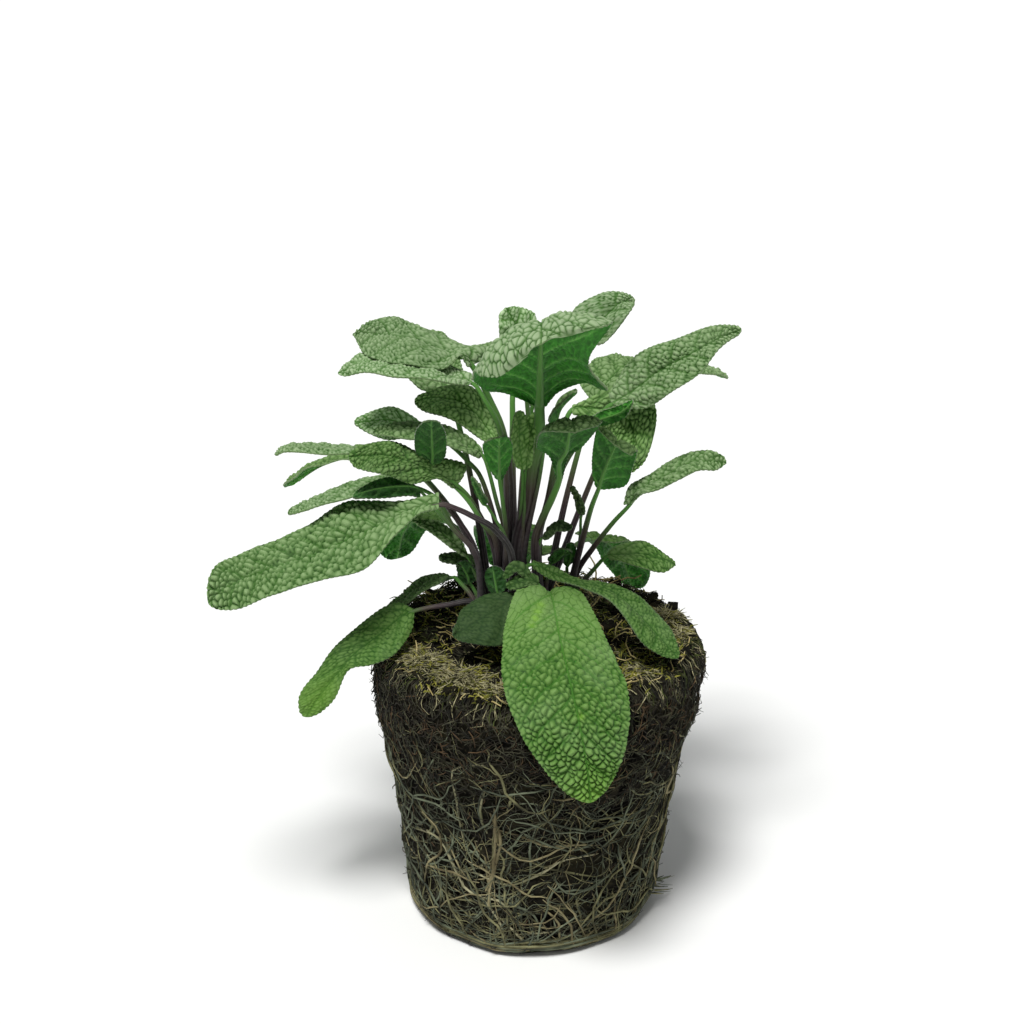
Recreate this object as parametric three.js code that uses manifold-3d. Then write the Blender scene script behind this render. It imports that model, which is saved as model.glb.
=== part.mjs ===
// A common sage plant knocked out of its pot: a bare root ball of peat, laced with roots, and the
// leafy shoots that stand in plain holes in its top. Millimetres, +Z up. The origin is the centre of
// the root ball's flat underside, and -Y is the front, over which the largest leaf hangs.

import * as THREE from "three";
import { mergeVertices } from "three/addons/utils/BufferGeometryUtils.js";
import Module from "manifold-3d";

const wasm = await Module();
wasm.setup();

// Root ball
const ballHeight = 92;
const ballFootRadius = 35;
const ballDrift = 2; // the top's centre stands this far to the right of the foot's
const ballLumps = 0.8;
const moundHeight = 3;
const moundPlace = [-3, 8];
const ballSides = 34;
const ballProfile = [ // height and radius up the side
  [0, ballFootRadius], [2, 37.6], [8, 39.2], [20, 40.3], [34, 41.6], [46, 43.6],
  [57, 46.2], [68, 48.7], [79, 49.9], [88, 49.6], [91, 47.5],
];
const ballTopRings = [38, 26, 14]; // radii of the rings across the top
const rootCount = 16;
const rootThickness = 2;
const rootSides = 3;

// Shoots
const footDepth = 7; // how far a shoot's foot stands in its hole
const footHeight = 6;
const footRadius = 2;
const footGap = 0.4;
const footSides = 8;

// Leaves
const bladeThickness = 0.75;
const ribDepth = 0.8; // the midrib's height on the underside
const quiltHeight = 0.45; // the blade rises this far between the side veins
const toothDepth = 0.05; // a share of the blade's half width
const stalkSides = 4; // sage has square stems
const stalkThin = 0.45; // a stalk's radius is this and a share of its blade's width
const stalkWiden = 0.02;
const stalkReach = 0.12; // the stalk runs on under this share of the blade

const leafGreen = new THREE.MeshStandardMaterial({ color: 0x7f9a63, roughness: 0.85, metalness: 0 });
const peatBrown = new THREE.MeshStandardMaterial({ color: 0x3a2c20, roughness: 1, metalness: 0 });

const vector = (point) => new THREE.Vector3(...point);

const through = (points) => new THREE.CatmullRomCurve3(points.map(vector), false, "catmullrom", 0.5);

// A leaf's stalk runs from its shoot's foot through the stalk points to the first blade point, and
// goes on through the blade points as the midrib. face is where the upper side looks.
function leaf(stalk, blade, width, form = {}) {
  return {
    stalk, blade, width,
    face: [0, 0, 1], fold: 8, cup: 0.12, lean: 0.92, full: 2.3, wing: 0.35, taper: 0.12,
    ...form,
  };
}

// A leaf laid out in rows from base to tip: each row holds a place on one rim, on the midrib and on
// the other rim, from left to right seen from the stalk with the upper side up.
function laidLeaf(stalk, rows, form = {}) {
  const widths = rows.map(([left, , right]) => vector(left).distanceTo(vector(right)));
  return {
    stalk,
    blade: rows.map(([, middle]) => middle),
    rims: [through(rows.map(([left]) => left)), through(rows.map(([, , right]) => right))],
    width: Math.max(...widths),
    puff: 0.3, // how far the blade bulges beside the midrib, as a share of its half width
    ...form,
  };
}

const shoots = [
  {
    name: "centre_shoot", foot: [-4, 9],
    leaves: [
      laidLeaf([[-4, 6, 121], [-1, 5, 135], [0, 3, 147], [2, 1, 158]], [
        [[4, -2, 170], [2, -2, 170], [1, -2, 170]],
        [[8, -5, 176], [2, -5, 174], [-8, -4, 175]],
        [[16, -8, 180], [2, -11, 181], [-14, -9, 178]],
        [[22, -14, 180], [2, -19, 191], [-18, -16, 184]],
        [[16, -23, 192], [2, -26, 200], [-18, -21, 186]],
        [[22, -31, 206], [2, -33, 208], [-17, -28, 191]],
        [[21, -38, 209], [2, -41, 208], [-15, -35, 192]],
        [[17, -43, 209], [2, -46, 206], [-8, -41, 194]],
      ], { puff: 0.5 }),
      laidLeaf([[-4, 9, 121], [-1, 12, 150], [-2, 11, 172]], [
        [[-4, 8, 184], [-2, 9, 185], [0, 10, 186]],
        [[-8, 6, 186], [-4, 9, 189], [0, 13, 192]],
        [[-10, 5, 190], [-7, 8, 192], [-4, 12, 194]],
        [[-10, 6, 195], [-10, 6, 196], [-9, 8, 196]],
      ]),
      laidLeaf([[-2, 10, 121], [2, 14, 149], [4, 15, 168], [10, 15, 179]], [
        [[15, 14, 184], [16, 13, 184], [18, 12, 184]],
        [[12, 17, 193], [18, 14, 188], [22, 10, 186]],
        [[20, 17, 199], [25, 14, 196], [28, 8, 195]],
        [[26, 16, 200], [28, 13, 198], [30, 9, 198]],
        [[30, 12, 200], [30, 11, 200], [30, 10, 200]],
      ]),
      leaf([[-2, 4, 122], [2, 3, 144], [4, 2, 158]],
        [[6, 1, 163], [8, 0, 169], [13, -2, 175]], 8, { face: [-0.8, 0.2, 0.6], fold: 40 }),
      leaf([[-4, 6, 122], [-3, 4, 140]],
        [[-3, 3, 147], [-4, 1, 158], [-4, -1, 168]], 7, { face: [0.3, -0.6, 0.3], fold: 30 }),
      leaf([[-3, 4, 123], [-2, 4, 140]],
        [[-2, 3, 147], [-1, 2, 158], [1, 0, 167]], 6, { face: [-0.5, -0.6, 0.3], fold: 30 }),
    ],
  },
  {
    name: "upper_left_shoot", foot: [-10, 11],
    leaves: [
      laidLeaf([[-7, 8, 126], [-7, 8, 144], [-9, 8, 158], [-13, 9, 168]], [
        [[-19, 4, 180], [-18, 6, 180], [-16, 9, 180]],
        [[-22, 3, 184], [-20, 6, 184], [-12, 14, 182]],
        [[-27, 1, 184], [-25, 7, 184], [-21, 14, 184]],
        [[-37, -1, 186], [-36, 8, 188], [-35, 17, 189]],
        [[-44, -1, 188], [-44, 8, 189], [-42, 16, 192]],
        [[-50, 1, 189], [-50, 7, 190], [-49, 12, 192]],
        [[-53, 4, 189], [-54, 6, 190], [-53, 8, 190]],
      ]),
      laidLeaf([[-8, 6, 127], [-8, 4, 146], [-10, 2, 161], [-14, 1, 170]], [
        [[-19, 0, 176], [-18, 2, 176], [-18, 4, 178]],
        [[-24, -4, 178], [-24, 1, 178], [-22, 6, 179]],
        [[-30, -8, 181], [-30, 0, 181], [-29, 8, 181]],
        [[-41, -11, 183], [-41, -2, 184], [-40, 8, 184]],
        [[-50, -10, 184], [-50, -4, 185], [-50, 4, 185]],
        [[-57, -7, 181], [-58, -6, 182], [-57, -4, 183]],
      ]),
      laidLeaf([[-8, 9, 122], [-9, 9, 140]], [
        [[-11, 8, 152], [-10, 9, 152], [-10, 10, 154]],
        [[-16, 7, 156], [-14, 11, 158], [-10, 14, 158]],
        [[-22, 6, 161], [-18, 12, 163], [-14, 16, 164]],
        [[-28, 6, 164], [-23, 13, 166], [-19, 18, 169]],
        [[-33, 9, 164], [-31, 13, 167], [-28, 17, 169]],
        [[-36, 12, 165], [-36, 12, 166], [-36, 14, 167]],
      ]),
    ],
  },
  {
    name: "middle_left_shoot", foot: [-9.5, 5],
    leaves: [
      laidLeaf([[-11, 1, 123], [-15, -1, 131], [-19, -1, 138]], [
        [[-24, -2, 143], [-23, -1, 143], [-22, 0, 145]],
        [[-29, -6, 148], [-26, -3, 147], [-20, 2, 149]],
        [[-36, -10, 148], [-32, -5, 151], [-26, 1, 152]],
        [[-42, -14, 152], [-38, -8, 155], [-34, -2, 155]],
        [[-48, -17, 155], [-45, -11, 158], [-42, -5, 160]],
        [[-54, -16, 156], [-55, -15, 159], [-54, -12, 161]],
      ]),
      laidLeaf([[-12, 2, 122], [-19, 0, 139], [-26, -2, 147]], [
        [[-28, -3, 152], [-30, -3, 152], [-31, -3, 152]],
        [[-26, -5, 156], [-30, -5, 156], [-35, -5, 156]],
        [[-26, -10, 165], [-30, -10, 164], [-35, -10, 165]],
        [[-28, -13, 170], [-30, -13, 170], [-32, -13, 170]],
      ]),
      laidLeaf([[-10, 3, 122], [-15, 3, 143], [-20, 4, 150], [-26, 6, 155]], [
        [[-33, 6, 156], [-32, 7, 158], [-32, 8, 158]],
        [[-39, 2, 158], [-38, 7, 160], [-36, 12, 161]],
        [[-44, 1, 158], [-43, 7, 162], [-42, 13, 164]],
        [[-50, 2, 160], [-49, 6, 162], [-48, 10, 164]],
        [[-54, 4, 162], [-54, 5, 162], [-54, 6, 163]],
      ]),
      laidLeaf([[-8, 2, 123], [-11, 1, 138]], [
        [[-16, 0, 152], [-15, 1, 153], [-15, 2, 154]],
        [[-20, -4, 156], [-20, 1, 156], [-19, 6, 157]],
        [[-28, -6, 160], [-28, 0, 161], [-28, 6, 161]],
        [[-40, -7, 162], [-40, -1, 162], [-40, 5, 162]],
        [[-48, -4, 162], [-48, -3, 162], [-48, -2, 163]],
      ]),
      laidLeaf([[-8, 1, 123], [-9, -3, 139]], [
        [[-9, -6, 148], [-10, -6, 148], [-11, -6, 148]],
        [[-7, -7, 153], [-10, -7, 152], [-13, -7, 152]],
        [[-6, -11, 161], [-10, -11, 160], [-15, -11, 161]],
        [[-8, -14, 166], [-10, -14, 165], [-12, -14, 165]],
      ]),
      leaf([[-8, 0, 124], [-11, -1, 132]],
        [[-14, -2, 138], [-16, -3, 143], [-18, -4, 148]], 5, { face: [0.6, 0.5, 0.5] }),
    ],
  },
  {
    name: "long_left_shoot", foot: [-7, -3],
    leaves: [
      laidLeaf([[-6, -4, 120], [-11, -6, 131], [-18, -9, 137], [-23, -10, 140]], [
        [[-28, -12, 141], [-28, -11, 142], [-28, -9, 145]],
        [[-34, -16, 141], [-36, -12, 141], [-38, -8, 142]],
        [[-41, -20, 136], [-44, -13, 137], [-48, -4, 140]],
        [[-50, -27, 128], [-53, -16, 134], [-57, -5, 140]],
        [[-64, -29, 125], [-66, -19, 129], [-70, -9, 133]],
        [[-78, -31, 121], [-81, -22, 125], [-85, -13, 128]],
        [[-88, -32, 117], [-92, -26, 121], [-95, -18, 125]],
        [[-96, -30, 116], [-97, -28, 117], [-98, -24, 120]],
      ]),
      leaf([[-8, -3, 104]],
        [[-10, -3, 108], [-11, -2, 112], [-12, -1, 117]], 7, { face: [0, 0.7, 0.7] }),
    ],
  },
  {
    name: "lower_left_shoot", foot: [-15.5, 3],
    leaves: [
      laidLeaf([[-17, 3, 119], [-25, 5, 133], [-33, 6, 143], [-42, 5, 150]], [
        [[-49, 1, 152], [-50, 4, 152], [-49, 7, 152]],
        [[-55, -3, 155], [-55, 3, 154], [-55, 9, 152]],
        [[-65, -5, 156], [-65, 2, 155], [-65, 9, 153]],
        [[-74, -3, 156], [-74, 0, 156], [-74, 4, 155]],
        [[-78, -2, 154], [-78, -1, 154], [-78, 0, 154]],
      ]),
      laidLeaf([[-17, 2, 118], [-24, 1, 129], [-29, 0, 139]], [
        [[-35, -3, 144], [-36, -2, 144], [-36, 0, 144]],
        [[-41, -8, 146], [-42, -3, 146], [-43, 2, 146]],
        [[-52, -11, 145], [-53, -5, 145], [-54, 2, 144]],
        [[-64, -12, 142], [-65, -7, 141], [-66, -1, 140]],
        [[-74, -10, 138], [-74, -9, 138], [-74, -8, 139]],
      ]),
      laidLeaf([[-17, 1, 118], [-24, -1, 129], [-30, -4, 138]], [
        [[-34, -5, 144], [-34, -6, 144], [-34, -7, 142]],
        [[-40, -5, 148], [-39, -8, 146], [-38, -10, 144]],
        [[-47, -7, 148], [-47, -10, 146], [-47, -12, 144]],
        [[-54, -10, 145], [-54, -11, 144], [-54, -12, 144]],
      ]),
      laidLeaf([[-16, 3, 107], [-18, 4, 113]], [
        [[-21, 3, 118], [-20, 4, 118], [-20, 5, 119]],
        [[-25, 2, 122], [-24, 4, 122], [-22, 6, 123]],
        [[-32, 3, 127], [-30, 5, 127], [-28, 7, 128]],
        [[-37, 5, 129], [-37, 5, 130], [-36, 6, 130]],
      ]),
      leaf([[-17, 4, 104]],
        [[-19, 5, 108], [-20, 5, 112], [-22, 5, 116]], 7, { face: [0, 0.7, 0.7] }),
      leaf([[-16, 6, 108]],
        [[-17, 7, 113], [-22, 8, 115], [-29, 8, 116]], 7, { face: [0, -0.2, 1] }),
    ],
  },
  {
    name: "trailing_left_leaves", foot: [-16, -4],
    leaves: [
      laidLeaf([[-18, -5, 106], [-26, -8, 107]], [
        [[-36, -11, 105], [-36, -10, 106], [-36, -9, 106]],
        [[-37, -15, 101], [-40, -12, 105], [-42, -8, 108]],
        [[-42, -20, 96], [-47, -15, 100], [-51, -10, 103]],
        [[-49, -23, 94], [-54, -19, 96], [-60, -16, 97]],
        [[-56, -23, 92], [-59, -22, 91], [-66, -20, 90]],
        [[-60, -26, 84], [-65, -25, 84], [-71, -24, 84]],
        [[-66, -27, 78], [-69, -27, 78], [-71, -26, 78]],
      ]),
      leaf([[-18, -3, 106], [-22, 1, 110]],
        [[-25, 4, 111], [-32, 3, 110], [-39, 0, 106], [-45, -2, 102]], 12, { face: [-0.2, 0.15, 0.95] }),
    ],
  },
  {
    name: "front_hanging_leaf", foot: [-1, -6],
    leaves: [
      laidLeaf([[0, -6, 106], [3, -7, 110]], [
        [[7, -10, 114], [5, -10, 112], [3, -10, 114]],
        [[14, -11, 114], [6, -14, 112], [-4, -10, 114]],
        [[19, -22, 110], [7, -22, 110], [-8, -22, 109]],
        [[23, -32, 105], [8, -32, 108], [-9, -32, 106]],
        [[28, -47, 98], [11, -49, 101], [-9, -45, 99]],
        [[28, -56, 88], [14, -59, 90], [-4, -55, 88]],
        [[25, -60, 78], [16, -62, 78], [4, -60, 77]],
        [[20, -61, 69], [17, -62, 68], [13, -62, 68]],
      ]),
      laidLeaf([[-3, -7, 104]], [
        [[-4, -10, 110], [-5, -9, 111], [-6, -8, 111]],
        [[-5, -20, 104], [-9, -13, 109], [-14, -9, 111]],
        [[-10, -26, 102], [-15, -19, 108], [-21, -14, 109]],
        [[-20, -26, 103], [-22, -23, 105], [-23, -20, 107]],
        [[-24, -25, 104], [-24, -25, 105], [-24, -24, 106]],
      ]),
      leaf([[-1, -7, 108]],
        [[-1, -8, 116], [-5, -8, 120], [-9, -8, 116]], 4, { face: [0, -0.5, 0.8] }),
      leaf([[2, -7, 110]],
        [[2, -8, 114], [-2, -9, 116], [-8, -10, 114]], 5, { face: [0, -0.6, 0.8] }),
    ],
  },
  {
    name: "front_right_leaf", foot: [-4, 2],
    leaves: [
      laidLeaf([[-4, 0, 112]], [
        [[0, -1, 119], [0, -2, 118], [0, -3, 117]],
        [[7, -4, 118], [6, -6, 117], [5, -8, 116]],
        [[14, -8, 116], [12, -10, 116], [12, -12, 116]],
        [[26, -11, 115], [23, -14, 115], [20, -17, 115]],
        [[34, -13, 111], [30, -18, 111], [26, -23, 113]],
        [[42, -19, 104], [38, -23, 104], [33, -28, 104]],
        [[45, -26, 99], [44, -27, 98], [41, -28, 98]],
      ]),
    ],
  },
  {
    name: "inner_right_shoot", foot: [3, 7],
    leaves: [
      laidLeaf([[2, 9, 121], [9, 10, 144], [18, 10, 159]], [
        [[23, 12, 168], [24, 10, 166], [26, 8, 166]],
        [[26, 14, 173], [30, 10, 170], [34, 6, 166]],
        [[32, 14, 181], [38, 9, 177], [41, 1, 173]],
        [[42, 12, 186], [46, 6, 183], [50, 0, 180]],
        [[54, 8, 192], [55, 4, 189], [56, 1, 188]],
        [[62, 3, 194], [62, 2, 193], [62, 1, 192]],
      ]),
      laidLeaf([[2, 7, 121], [5, 8, 136], [8, 11, 152]], [
        [[12, 14, 164], [12, 13, 163], [12, 12, 162]],
        [[18, 16, 166], [18, 14, 163], [19, 11, 159]],
        [[27, 17, 170], [25, 15, 162], [22, 12, 156]],
        [[36, 15, 166], [30, 14, 158], [23, 12, 153]],
        [[38, 12, 160], [31, 11, 153], [24, 10, 150]],
        [[35, 8, 149], [30, 8, 147], [24, 8, 146]],
        [[30, 7, 144], [28, 7, 143], [25, 7, 144]],
      ]),
      laidLeaf([[2, 4, 122], [6, 3, 141], [11, 3, 156]], [
        [[19, 3, 162], [18, 3, 163], [17, 3, 164]],
        [[23, 1, 163], [22, 0, 166], [21, 0, 168]],
        [[28, -3, 167], [27, -3, 169], [26, -3, 171]],
        [[30, -6, 172], [30, -6, 173], [30, -6, 174]],
      ]),
      laidLeaf([[1, 2, 122], [3, 0, 132], [6, -4, 141]], [
        [[9, -8, 149], [8, -8, 149], [7, -8, 149]],
        [[11, -13, 159], [8, -12, 157], [5, -12, 158]],
        [[15, -18, 164], [10, -17, 163], [1, -17, 163]],
        [[20, -25, 174], [11, -25, 175], [2, -25, 171]],
        [[18, -31, 175], [12, -33, 174], [4, -32, 174]],
      ]),
      leaf([[2, 3, 120]],
        [[3, 0, 126], [7, -3, 132], [12, -6, 132]], 6, { face: [0, -0.3, 0.9], cup: 0.5 }),
      leaf([[5, 8, 110]],
        [[6, 8, 114], [9, 7, 118], [11, 5, 120]], 7, { face: [0, 0.5, 0.8] }),
    ],
  },
  {
    name: "outer_right_shoot", foot: [11, 14],
    leaves: [
      laidLeaf([[13, 12, 108], [16, 7, 124], [18, 2, 135]], [
        [[21, -4, 144], [20, -4, 144], [19, -4, 145]],
        [[28, -6, 146], [21, -6, 149], [18, -5, 150]],
        [[30, -11, 154], [23, -11, 157], [18, -9, 159]],
        [[31, -15, 161], [25, -15, 164], [19, -14, 168]],
        [[29, -20, 161], [24, -20, 165], [20, -18, 168]],
      ]),
      laidLeaf([[14, 13, 108], [19, 12, 117], [25, 11, 126]], [
        [[28, 9, 133], [30, 9, 133], [31, 8, 134]],
        [[30, 12, 138], [32, 8, 138], [34, 4, 139]],
        [[36, 12, 142], [38, 7, 142], [40, 2, 142]],
        [[46, 11, 149], [48, 5, 149], [49, 0, 148]],
        [[54, 7, 152], [54, 3, 150], [55, -1, 149]],
        [[59, 4, 151], [59, 2, 150], [58, 1, 149]],
      ]),
      laidLeaf([[14, 10, 104], [18, 6, 111]], [
        [[23, 5, 118], [23, 4, 118], [24, 3, 117]],
        [[26, 7, 120], [26, 3, 119], [27, 0, 118]],
        [[34, 7, 122], [34, 1, 120], [34, -5, 118]],
        [[41, 1, 120], [41, -1, 119], [40, -4, 116]],
        [[44, -2, 119], [44, -3, 118], [43, -3, 117]],
      ]),
      leaf([[14, 12, 113], [15, 11, 122], [15, 10, 126]],
        [[15, 10, 129], [14, 8, 135], [12, 7, 140]], 5, { face: [-0.7, -0.5, 0.3] }),
      leaf([[11, 13, 108]],
        [[11, 12, 111], [12, 11, 116], [12, 10, 120]], 4, { face: [0, 0.5, 0.8] }),
    ],
  },
  {
    name: "back_left_shoot", foot: [-13, 18],
    leaves: [
      leaf([[-17, 20, 125], [-22, 25, 150]],
        [[-26, 30, 161], [-33, 40, 170], [-38, 52, 172], [-42, 64, 166]], 22, { face: [0, -0.1, 1] }),
      leaf([[-20, 18, 118], [-30, 23, 132]],
        [[-38, 26, 138], [-52, 32, 141], [-66, 37, 136], [-78, 41, 126]], 23, { face: [-0.1, 0.2, 1] }),
      leaf([[-16, 21, 108], [-22, 30, 114]],
        [[-28, 38, 115], [-36, 50, 112], [-42, 61, 102], [-45, 68, 88]], 20, { face: [-0.2, 0.4, 0.9] }),
    ],
  },
  {
    name: "back_shoot", foot: [-5, 20],
    leaves: [
      leaf([[-6, 26, 130], [-6, 31, 150]],
        [[-6, 34, 160], [-5, 41, 168], [-4, 51, 170], [-3, 61, 164]], 24, { face: [0, 0, 1] }),
      leaf([[-5, 28, 104], [-6, 38, 107]],
        [[-7, 46, 107], [-8, 58, 104], [-8, 70, 94], [-8, 77, 80]], 22, { face: [0, 0.4, 0.9] }),
      leaf([[-3, 21, 136], [-1, 22, 152]],
        [[0, 23, 160], [2, 27, 170], [3, 34, 176], [4, 42, 176]], 15, { face: [0, -0.3, 1] }),
      leaf([[-2, 24, 104]],
        [[0, 29, 107], [4, 38, 106], [7, 46, 100]], 11, { face: [0.1, 0.2, 0.9] }),
    ],
  },
  {
    name: "back_right_shoot", foot: [4, 18],
    leaves: [
      leaf([[10, 24, 125], [16, 30, 148]],
        [[19, 34, 157], [27, 44, 164], [34, 55, 163], [40, 64, 155]], 21, { face: [0, 0, 1] }),
      leaf([[8, 26, 104], [14, 38, 106]],
        [[19, 48, 104], [25, 60, 99], [31, 69, 88], [35, 75, 74]], 20, { face: [0.2, 0.4, 0.9] }),
      leaf([[14, 24, 122], [24, 30, 146]],
        [[30, 34, 156], [40, 40, 164], [51, 46, 165], [62, 50, 160]], 18, { face: [0.1, 0.1, 1] }),
    ],
  },
];

const smoothstep = (from, to, x) => THREE.MathUtils.smoothstep(x, from, to);

// A closed mesh as a solid to join and cut with.
function solid(points, triangles) {
  const geometry = new THREE.BufferGeometry();
  geometry.setAttribute("position", new THREE.Float32BufferAttribute(points.flatMap((p) => p.toArray()), 3));
  geometry.setIndex(triangles.flat());
  return solidOf(geometry);
}

function solidOf(geometry) {
  const bare = geometry.clone();
  bare.deleteAttribute("normal");
  bare.deleteAttribute("uv");
  const merged = mergeVertices(bare, 1e-4);
  return new wasm.Manifold(new wasm.Mesh({
    numProp: 3,
    vertProperties: new Float32Array(merged.attributes.position.array),
    triVerts: new Uint32Array(merged.index.array),
  }));
}

function meshOf(name, shape, material) {
  const { vertProperties, triVerts } = shape.getMesh();
  const geometry = new THREE.BufferGeometry();
  geometry.setAttribute("position", new THREE.BufferAttribute(vertProperties, 3));
  geometry.setIndex(new THREE.BufferAttribute(triVerts, 1));
  geometry.computeVertexNormals();
  const mesh = new THREE.Mesh(geometry, material);
  mesh.name = name;
  return mesh;
}

// A closed skin over rings of equally many points, with a point at each end.
function skin(first, rings, last) {
  const count = rings[0].length;
  const points = [first, ...rings.flat(), last];
  const at = (ring, i) => 1 + ring * count + (i % count);
  const triangles = [];
  for (let i = 0; i < count; i++) {
    triangles.push([0, at(0, i + 1), at(0, i)]);
    triangles.push([points.length - 1, at(rings.length - 1, i), at(rings.length - 1, i + 1)]);
    for (let ring = 0; ring < rings.length - 1; ring++) {
      triangles.push([at(ring, i), at(ring, i + 1), at(ring + 1, i + 1)]);
      triangles.push([at(ring, i), at(ring + 1, i + 1), at(ring + 1, i)]);
    }
  }
  return solid(points, triangles);
}

// A stalk or root along a curve, whose radius changes evenly.
function stalkAlong(curve, radiusStart, radiusEnd, steps, sides = stalkSides) {
  const frames = curve.computeFrenetFrames(steps, false);
  const rings = [];
  for (let step = 0; step <= steps; step++) {
    const share = step / steps;
    const centre = curve.getPointAt(share);
    const radius = THREE.MathUtils.lerp(radiusStart, radiusEnd, share);
    const ring = [];
    for (let side = 0; side < sides; side++) {
      const angle = (side / sides) * 2 * Math.PI;
      ring.push(centre.clone()
        .addScaledVector(frames.normals[step], radius * Math.cos(angle))
        .addScaledVector(frames.binormals[step], radius * Math.sin(angle)));
    }
    rings.push(ring);
  }
  return skin(curve.getPointAt(0), rings, curve.getPointAt(1));
}

// The curve through a leaf's stalk and midrib, and the share of it where the blade begins.
function leafCurve(spec, foot) {
  const points = [foot, ...spec.stalk, ...spec.blade];
  const curve = through(points);
  const spans = points.length - 1;
  curve.arcLengthDivisions = 40 * spans;
  const lengths = curve.getLengths();
  const bladeStart = lengths[40 * (spec.stalk.length + 1)] / curve.getLength();
  return { curve, bladeStart };
}

function halfWidth(spec, u) {
  const outline = Math.max(0, 1 - Math.abs(2 * u ** spec.lean - 1) ** spec.full) ** (1 / spec.full);
  return (spec.width / 2) * outline * (spec.wing + (1 - spec.wing) * smoothstep(0, spec.taper, u));
}

// A point of the blade's smooth face: u runs from base to tip, v from edge to edge.
function bladePoint(spec, curve, bladeStart, u, v, widen = 1) {
  if (spec.rims) return laidPoint(spec, curve, u, v, widen);
  const share = bladeStart + u * (1 - bladeStart);
  const step = 0.6 / curve.getLength();
  const along = curve.getPointAt(Math.min(share + step, 1))
    .sub(curve.getPointAt(Math.max(share - step, 0))).normalize();
  const side = along.clone().cross(vector(spec.face)).normalize();
  const normal = side.clone().cross(along);
  const half = halfWidth(spec, u) * widen;
  const fold = THREE.MathUtils.degToRad(spec.fold);
  return curve.getPointAt(share)
    .addScaledVector(side, half * v * Math.cos(fold))
    .addScaledVector(normal, half * (Math.abs(v) * Math.sin(fold) - spec.cup * v * v));
}

function laidPoint(spec, curve, u, v, widen) {
  const start = spec.stalk.length + 1;
  const spans = spec.blade.length - 1;
  const share = (start + u * spans) / (start + spans);
  const middle = curve.getPoint(share);
  const [left, right] = spec.rims.map((rim) => rim.getPoint(u));
  const normal = right.clone().sub(left).cross(curve.getTangent(share)).normalize();
  const reach = (v < 0 ? left : right).sub(middle);
  const bulge = spec.puff * reach.length() * (Math.abs(v) - v * v);
  return middle.addScaledVector(reach, Math.abs(v) * widen).addScaledVector(normal, bulge);
}

function bladeNormal(spec, curve, bladeStart, u, v) {
  const step = 0.03;
  const near = Math.min(Math.max(u, 0.06), 0.94);
  const point = (a, b) => bladePoint(spec, curve, bladeStart, a, b);
  const along = point(near + step, v).sub(point(near - step, v));
  const across = point(near, Math.min(v + step, 1)).sub(point(near, Math.max(v - step, -1)));
  return across.cross(along).normalize();
}

// A blade with a toothed edge, raised between its side veins and ribbed below.
function bladeSolid(spec, curve, bladeStart, rows, columns) {
  const above = [];
  const below = [];
  const across = 2 * columns + 1;
  for (let row = 0; row <= rows; row++) {
    const u = 0.65 * (row / rows) + 0.35 * (1 - Math.cos((Math.PI * row) / rows)) / 2;
    const crest = row % 2 === 1;
    for (let column = -columns; column <= columns; column++) {
      const end = row === 0 || row === rows;
      if (end && column > -columns) continue;
      const v = end ? 0 : column / columns;
      const edge = Math.abs(column) === columns && !end;
      const widen = edge ? 1 + (crest ? 0 : -toothDepth) : 1;
      const normal = bladeNormal(spec, curve, bladeStart, u, v);
      const place = bladePoint(spec, curve, bladeStart, u, v, widen);
      const between = !end && !edge && column !== 0;
      place.addScaledVector(normal, between && crest ? quiltHeight : 0);
      const rib = column === 0 || end ? ribDepth * (1 - u) : 0;
      above.push(place);
      below.push(place.clone().addScaledVector(normal, -bladeThickness - rib));
    }
  }
  const at = (row, column) => {
    if (row === 0) return 0;
    if (row === rows) return above.length - 1;
    return 1 + (row - 1) * across + column + columns;
  };
  const triangles = [];
  const under = above.length;
  const face = (a, b, c) => {
    if (a === b || b === c || c === a) return;
    triangles.push([a, b, c]);
    triangles.push([under + a, under + c, under + b]);
  };
  for (let row = 0; row < rows; row++) {
    for (let column = -columns; column < columns; column++) {
      const corners = [at(row, column), at(row, column + 1), at(row + 1, column + 1), at(row + 1, column)];
      const [a, b, c, d] = column < 0 ? corners : [corners[3], corners[0], corners[1], corners[2]];
      face(a, b, c);
      face(a, c, d);
    }
    for (const column of [-columns, columns]) {
      const a = at(row, column);
      const b = at(row + 1, column);
      const [c, d] = column < 0 ? [a, b] : [b, a];
      triangles.push([c, d, under + d]);
      triangles.push([c, under + d, under + c]);
    }
  }
  return solid([...above, ...below], triangles);
}

function leafSolids(spec, foot) {
  const { curve, bladeStart } = leafCurve(spec, foot);
  const bladeLength = curve.getLength() * (1 - bladeStart);
  const tiny = spec.width < 8;
  const rows = bladeLength > 54 ? 16 : tiny ? 6 : spec.width > 14 ? 10 : 8;
  const columns = spec.width > 25 ? 3 : tiny ? 1 : 2;
  const stalkRadius = stalkThin + stalkWiden * spec.width;
  const stalkEnd = bladeStart + stalkReach * (1 - bladeStart);
  const steps = tiny ? 3 : spec.stalk.length + 3;
  return [
    bladeSolid(spec, curve, bladeStart, rows, columns),
    stalkAlong(shorten(curve, stalkEnd), 1.5 * stalkRadius, 0.8 * stalkRadius, steps),
  ];
}

// The same curve up to a share of its length.
function shorten(curve, end) {
  const count = 12;
  const points = [];
  for (let i = 0; i <= count; i++) points.push(curve.getPointAt((end * i) / count));
  return new THREE.CatmullRomCurve3(points, false, "catmullrom", 0.5);
}

const soilHeight = (x, y) => {
  const away = Math.hypot(x - moundPlace[0], y - moundPlace[1]);
  return ballHeight + moundHeight * Math.exp(-((away / 16) ** 2));
};

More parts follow.
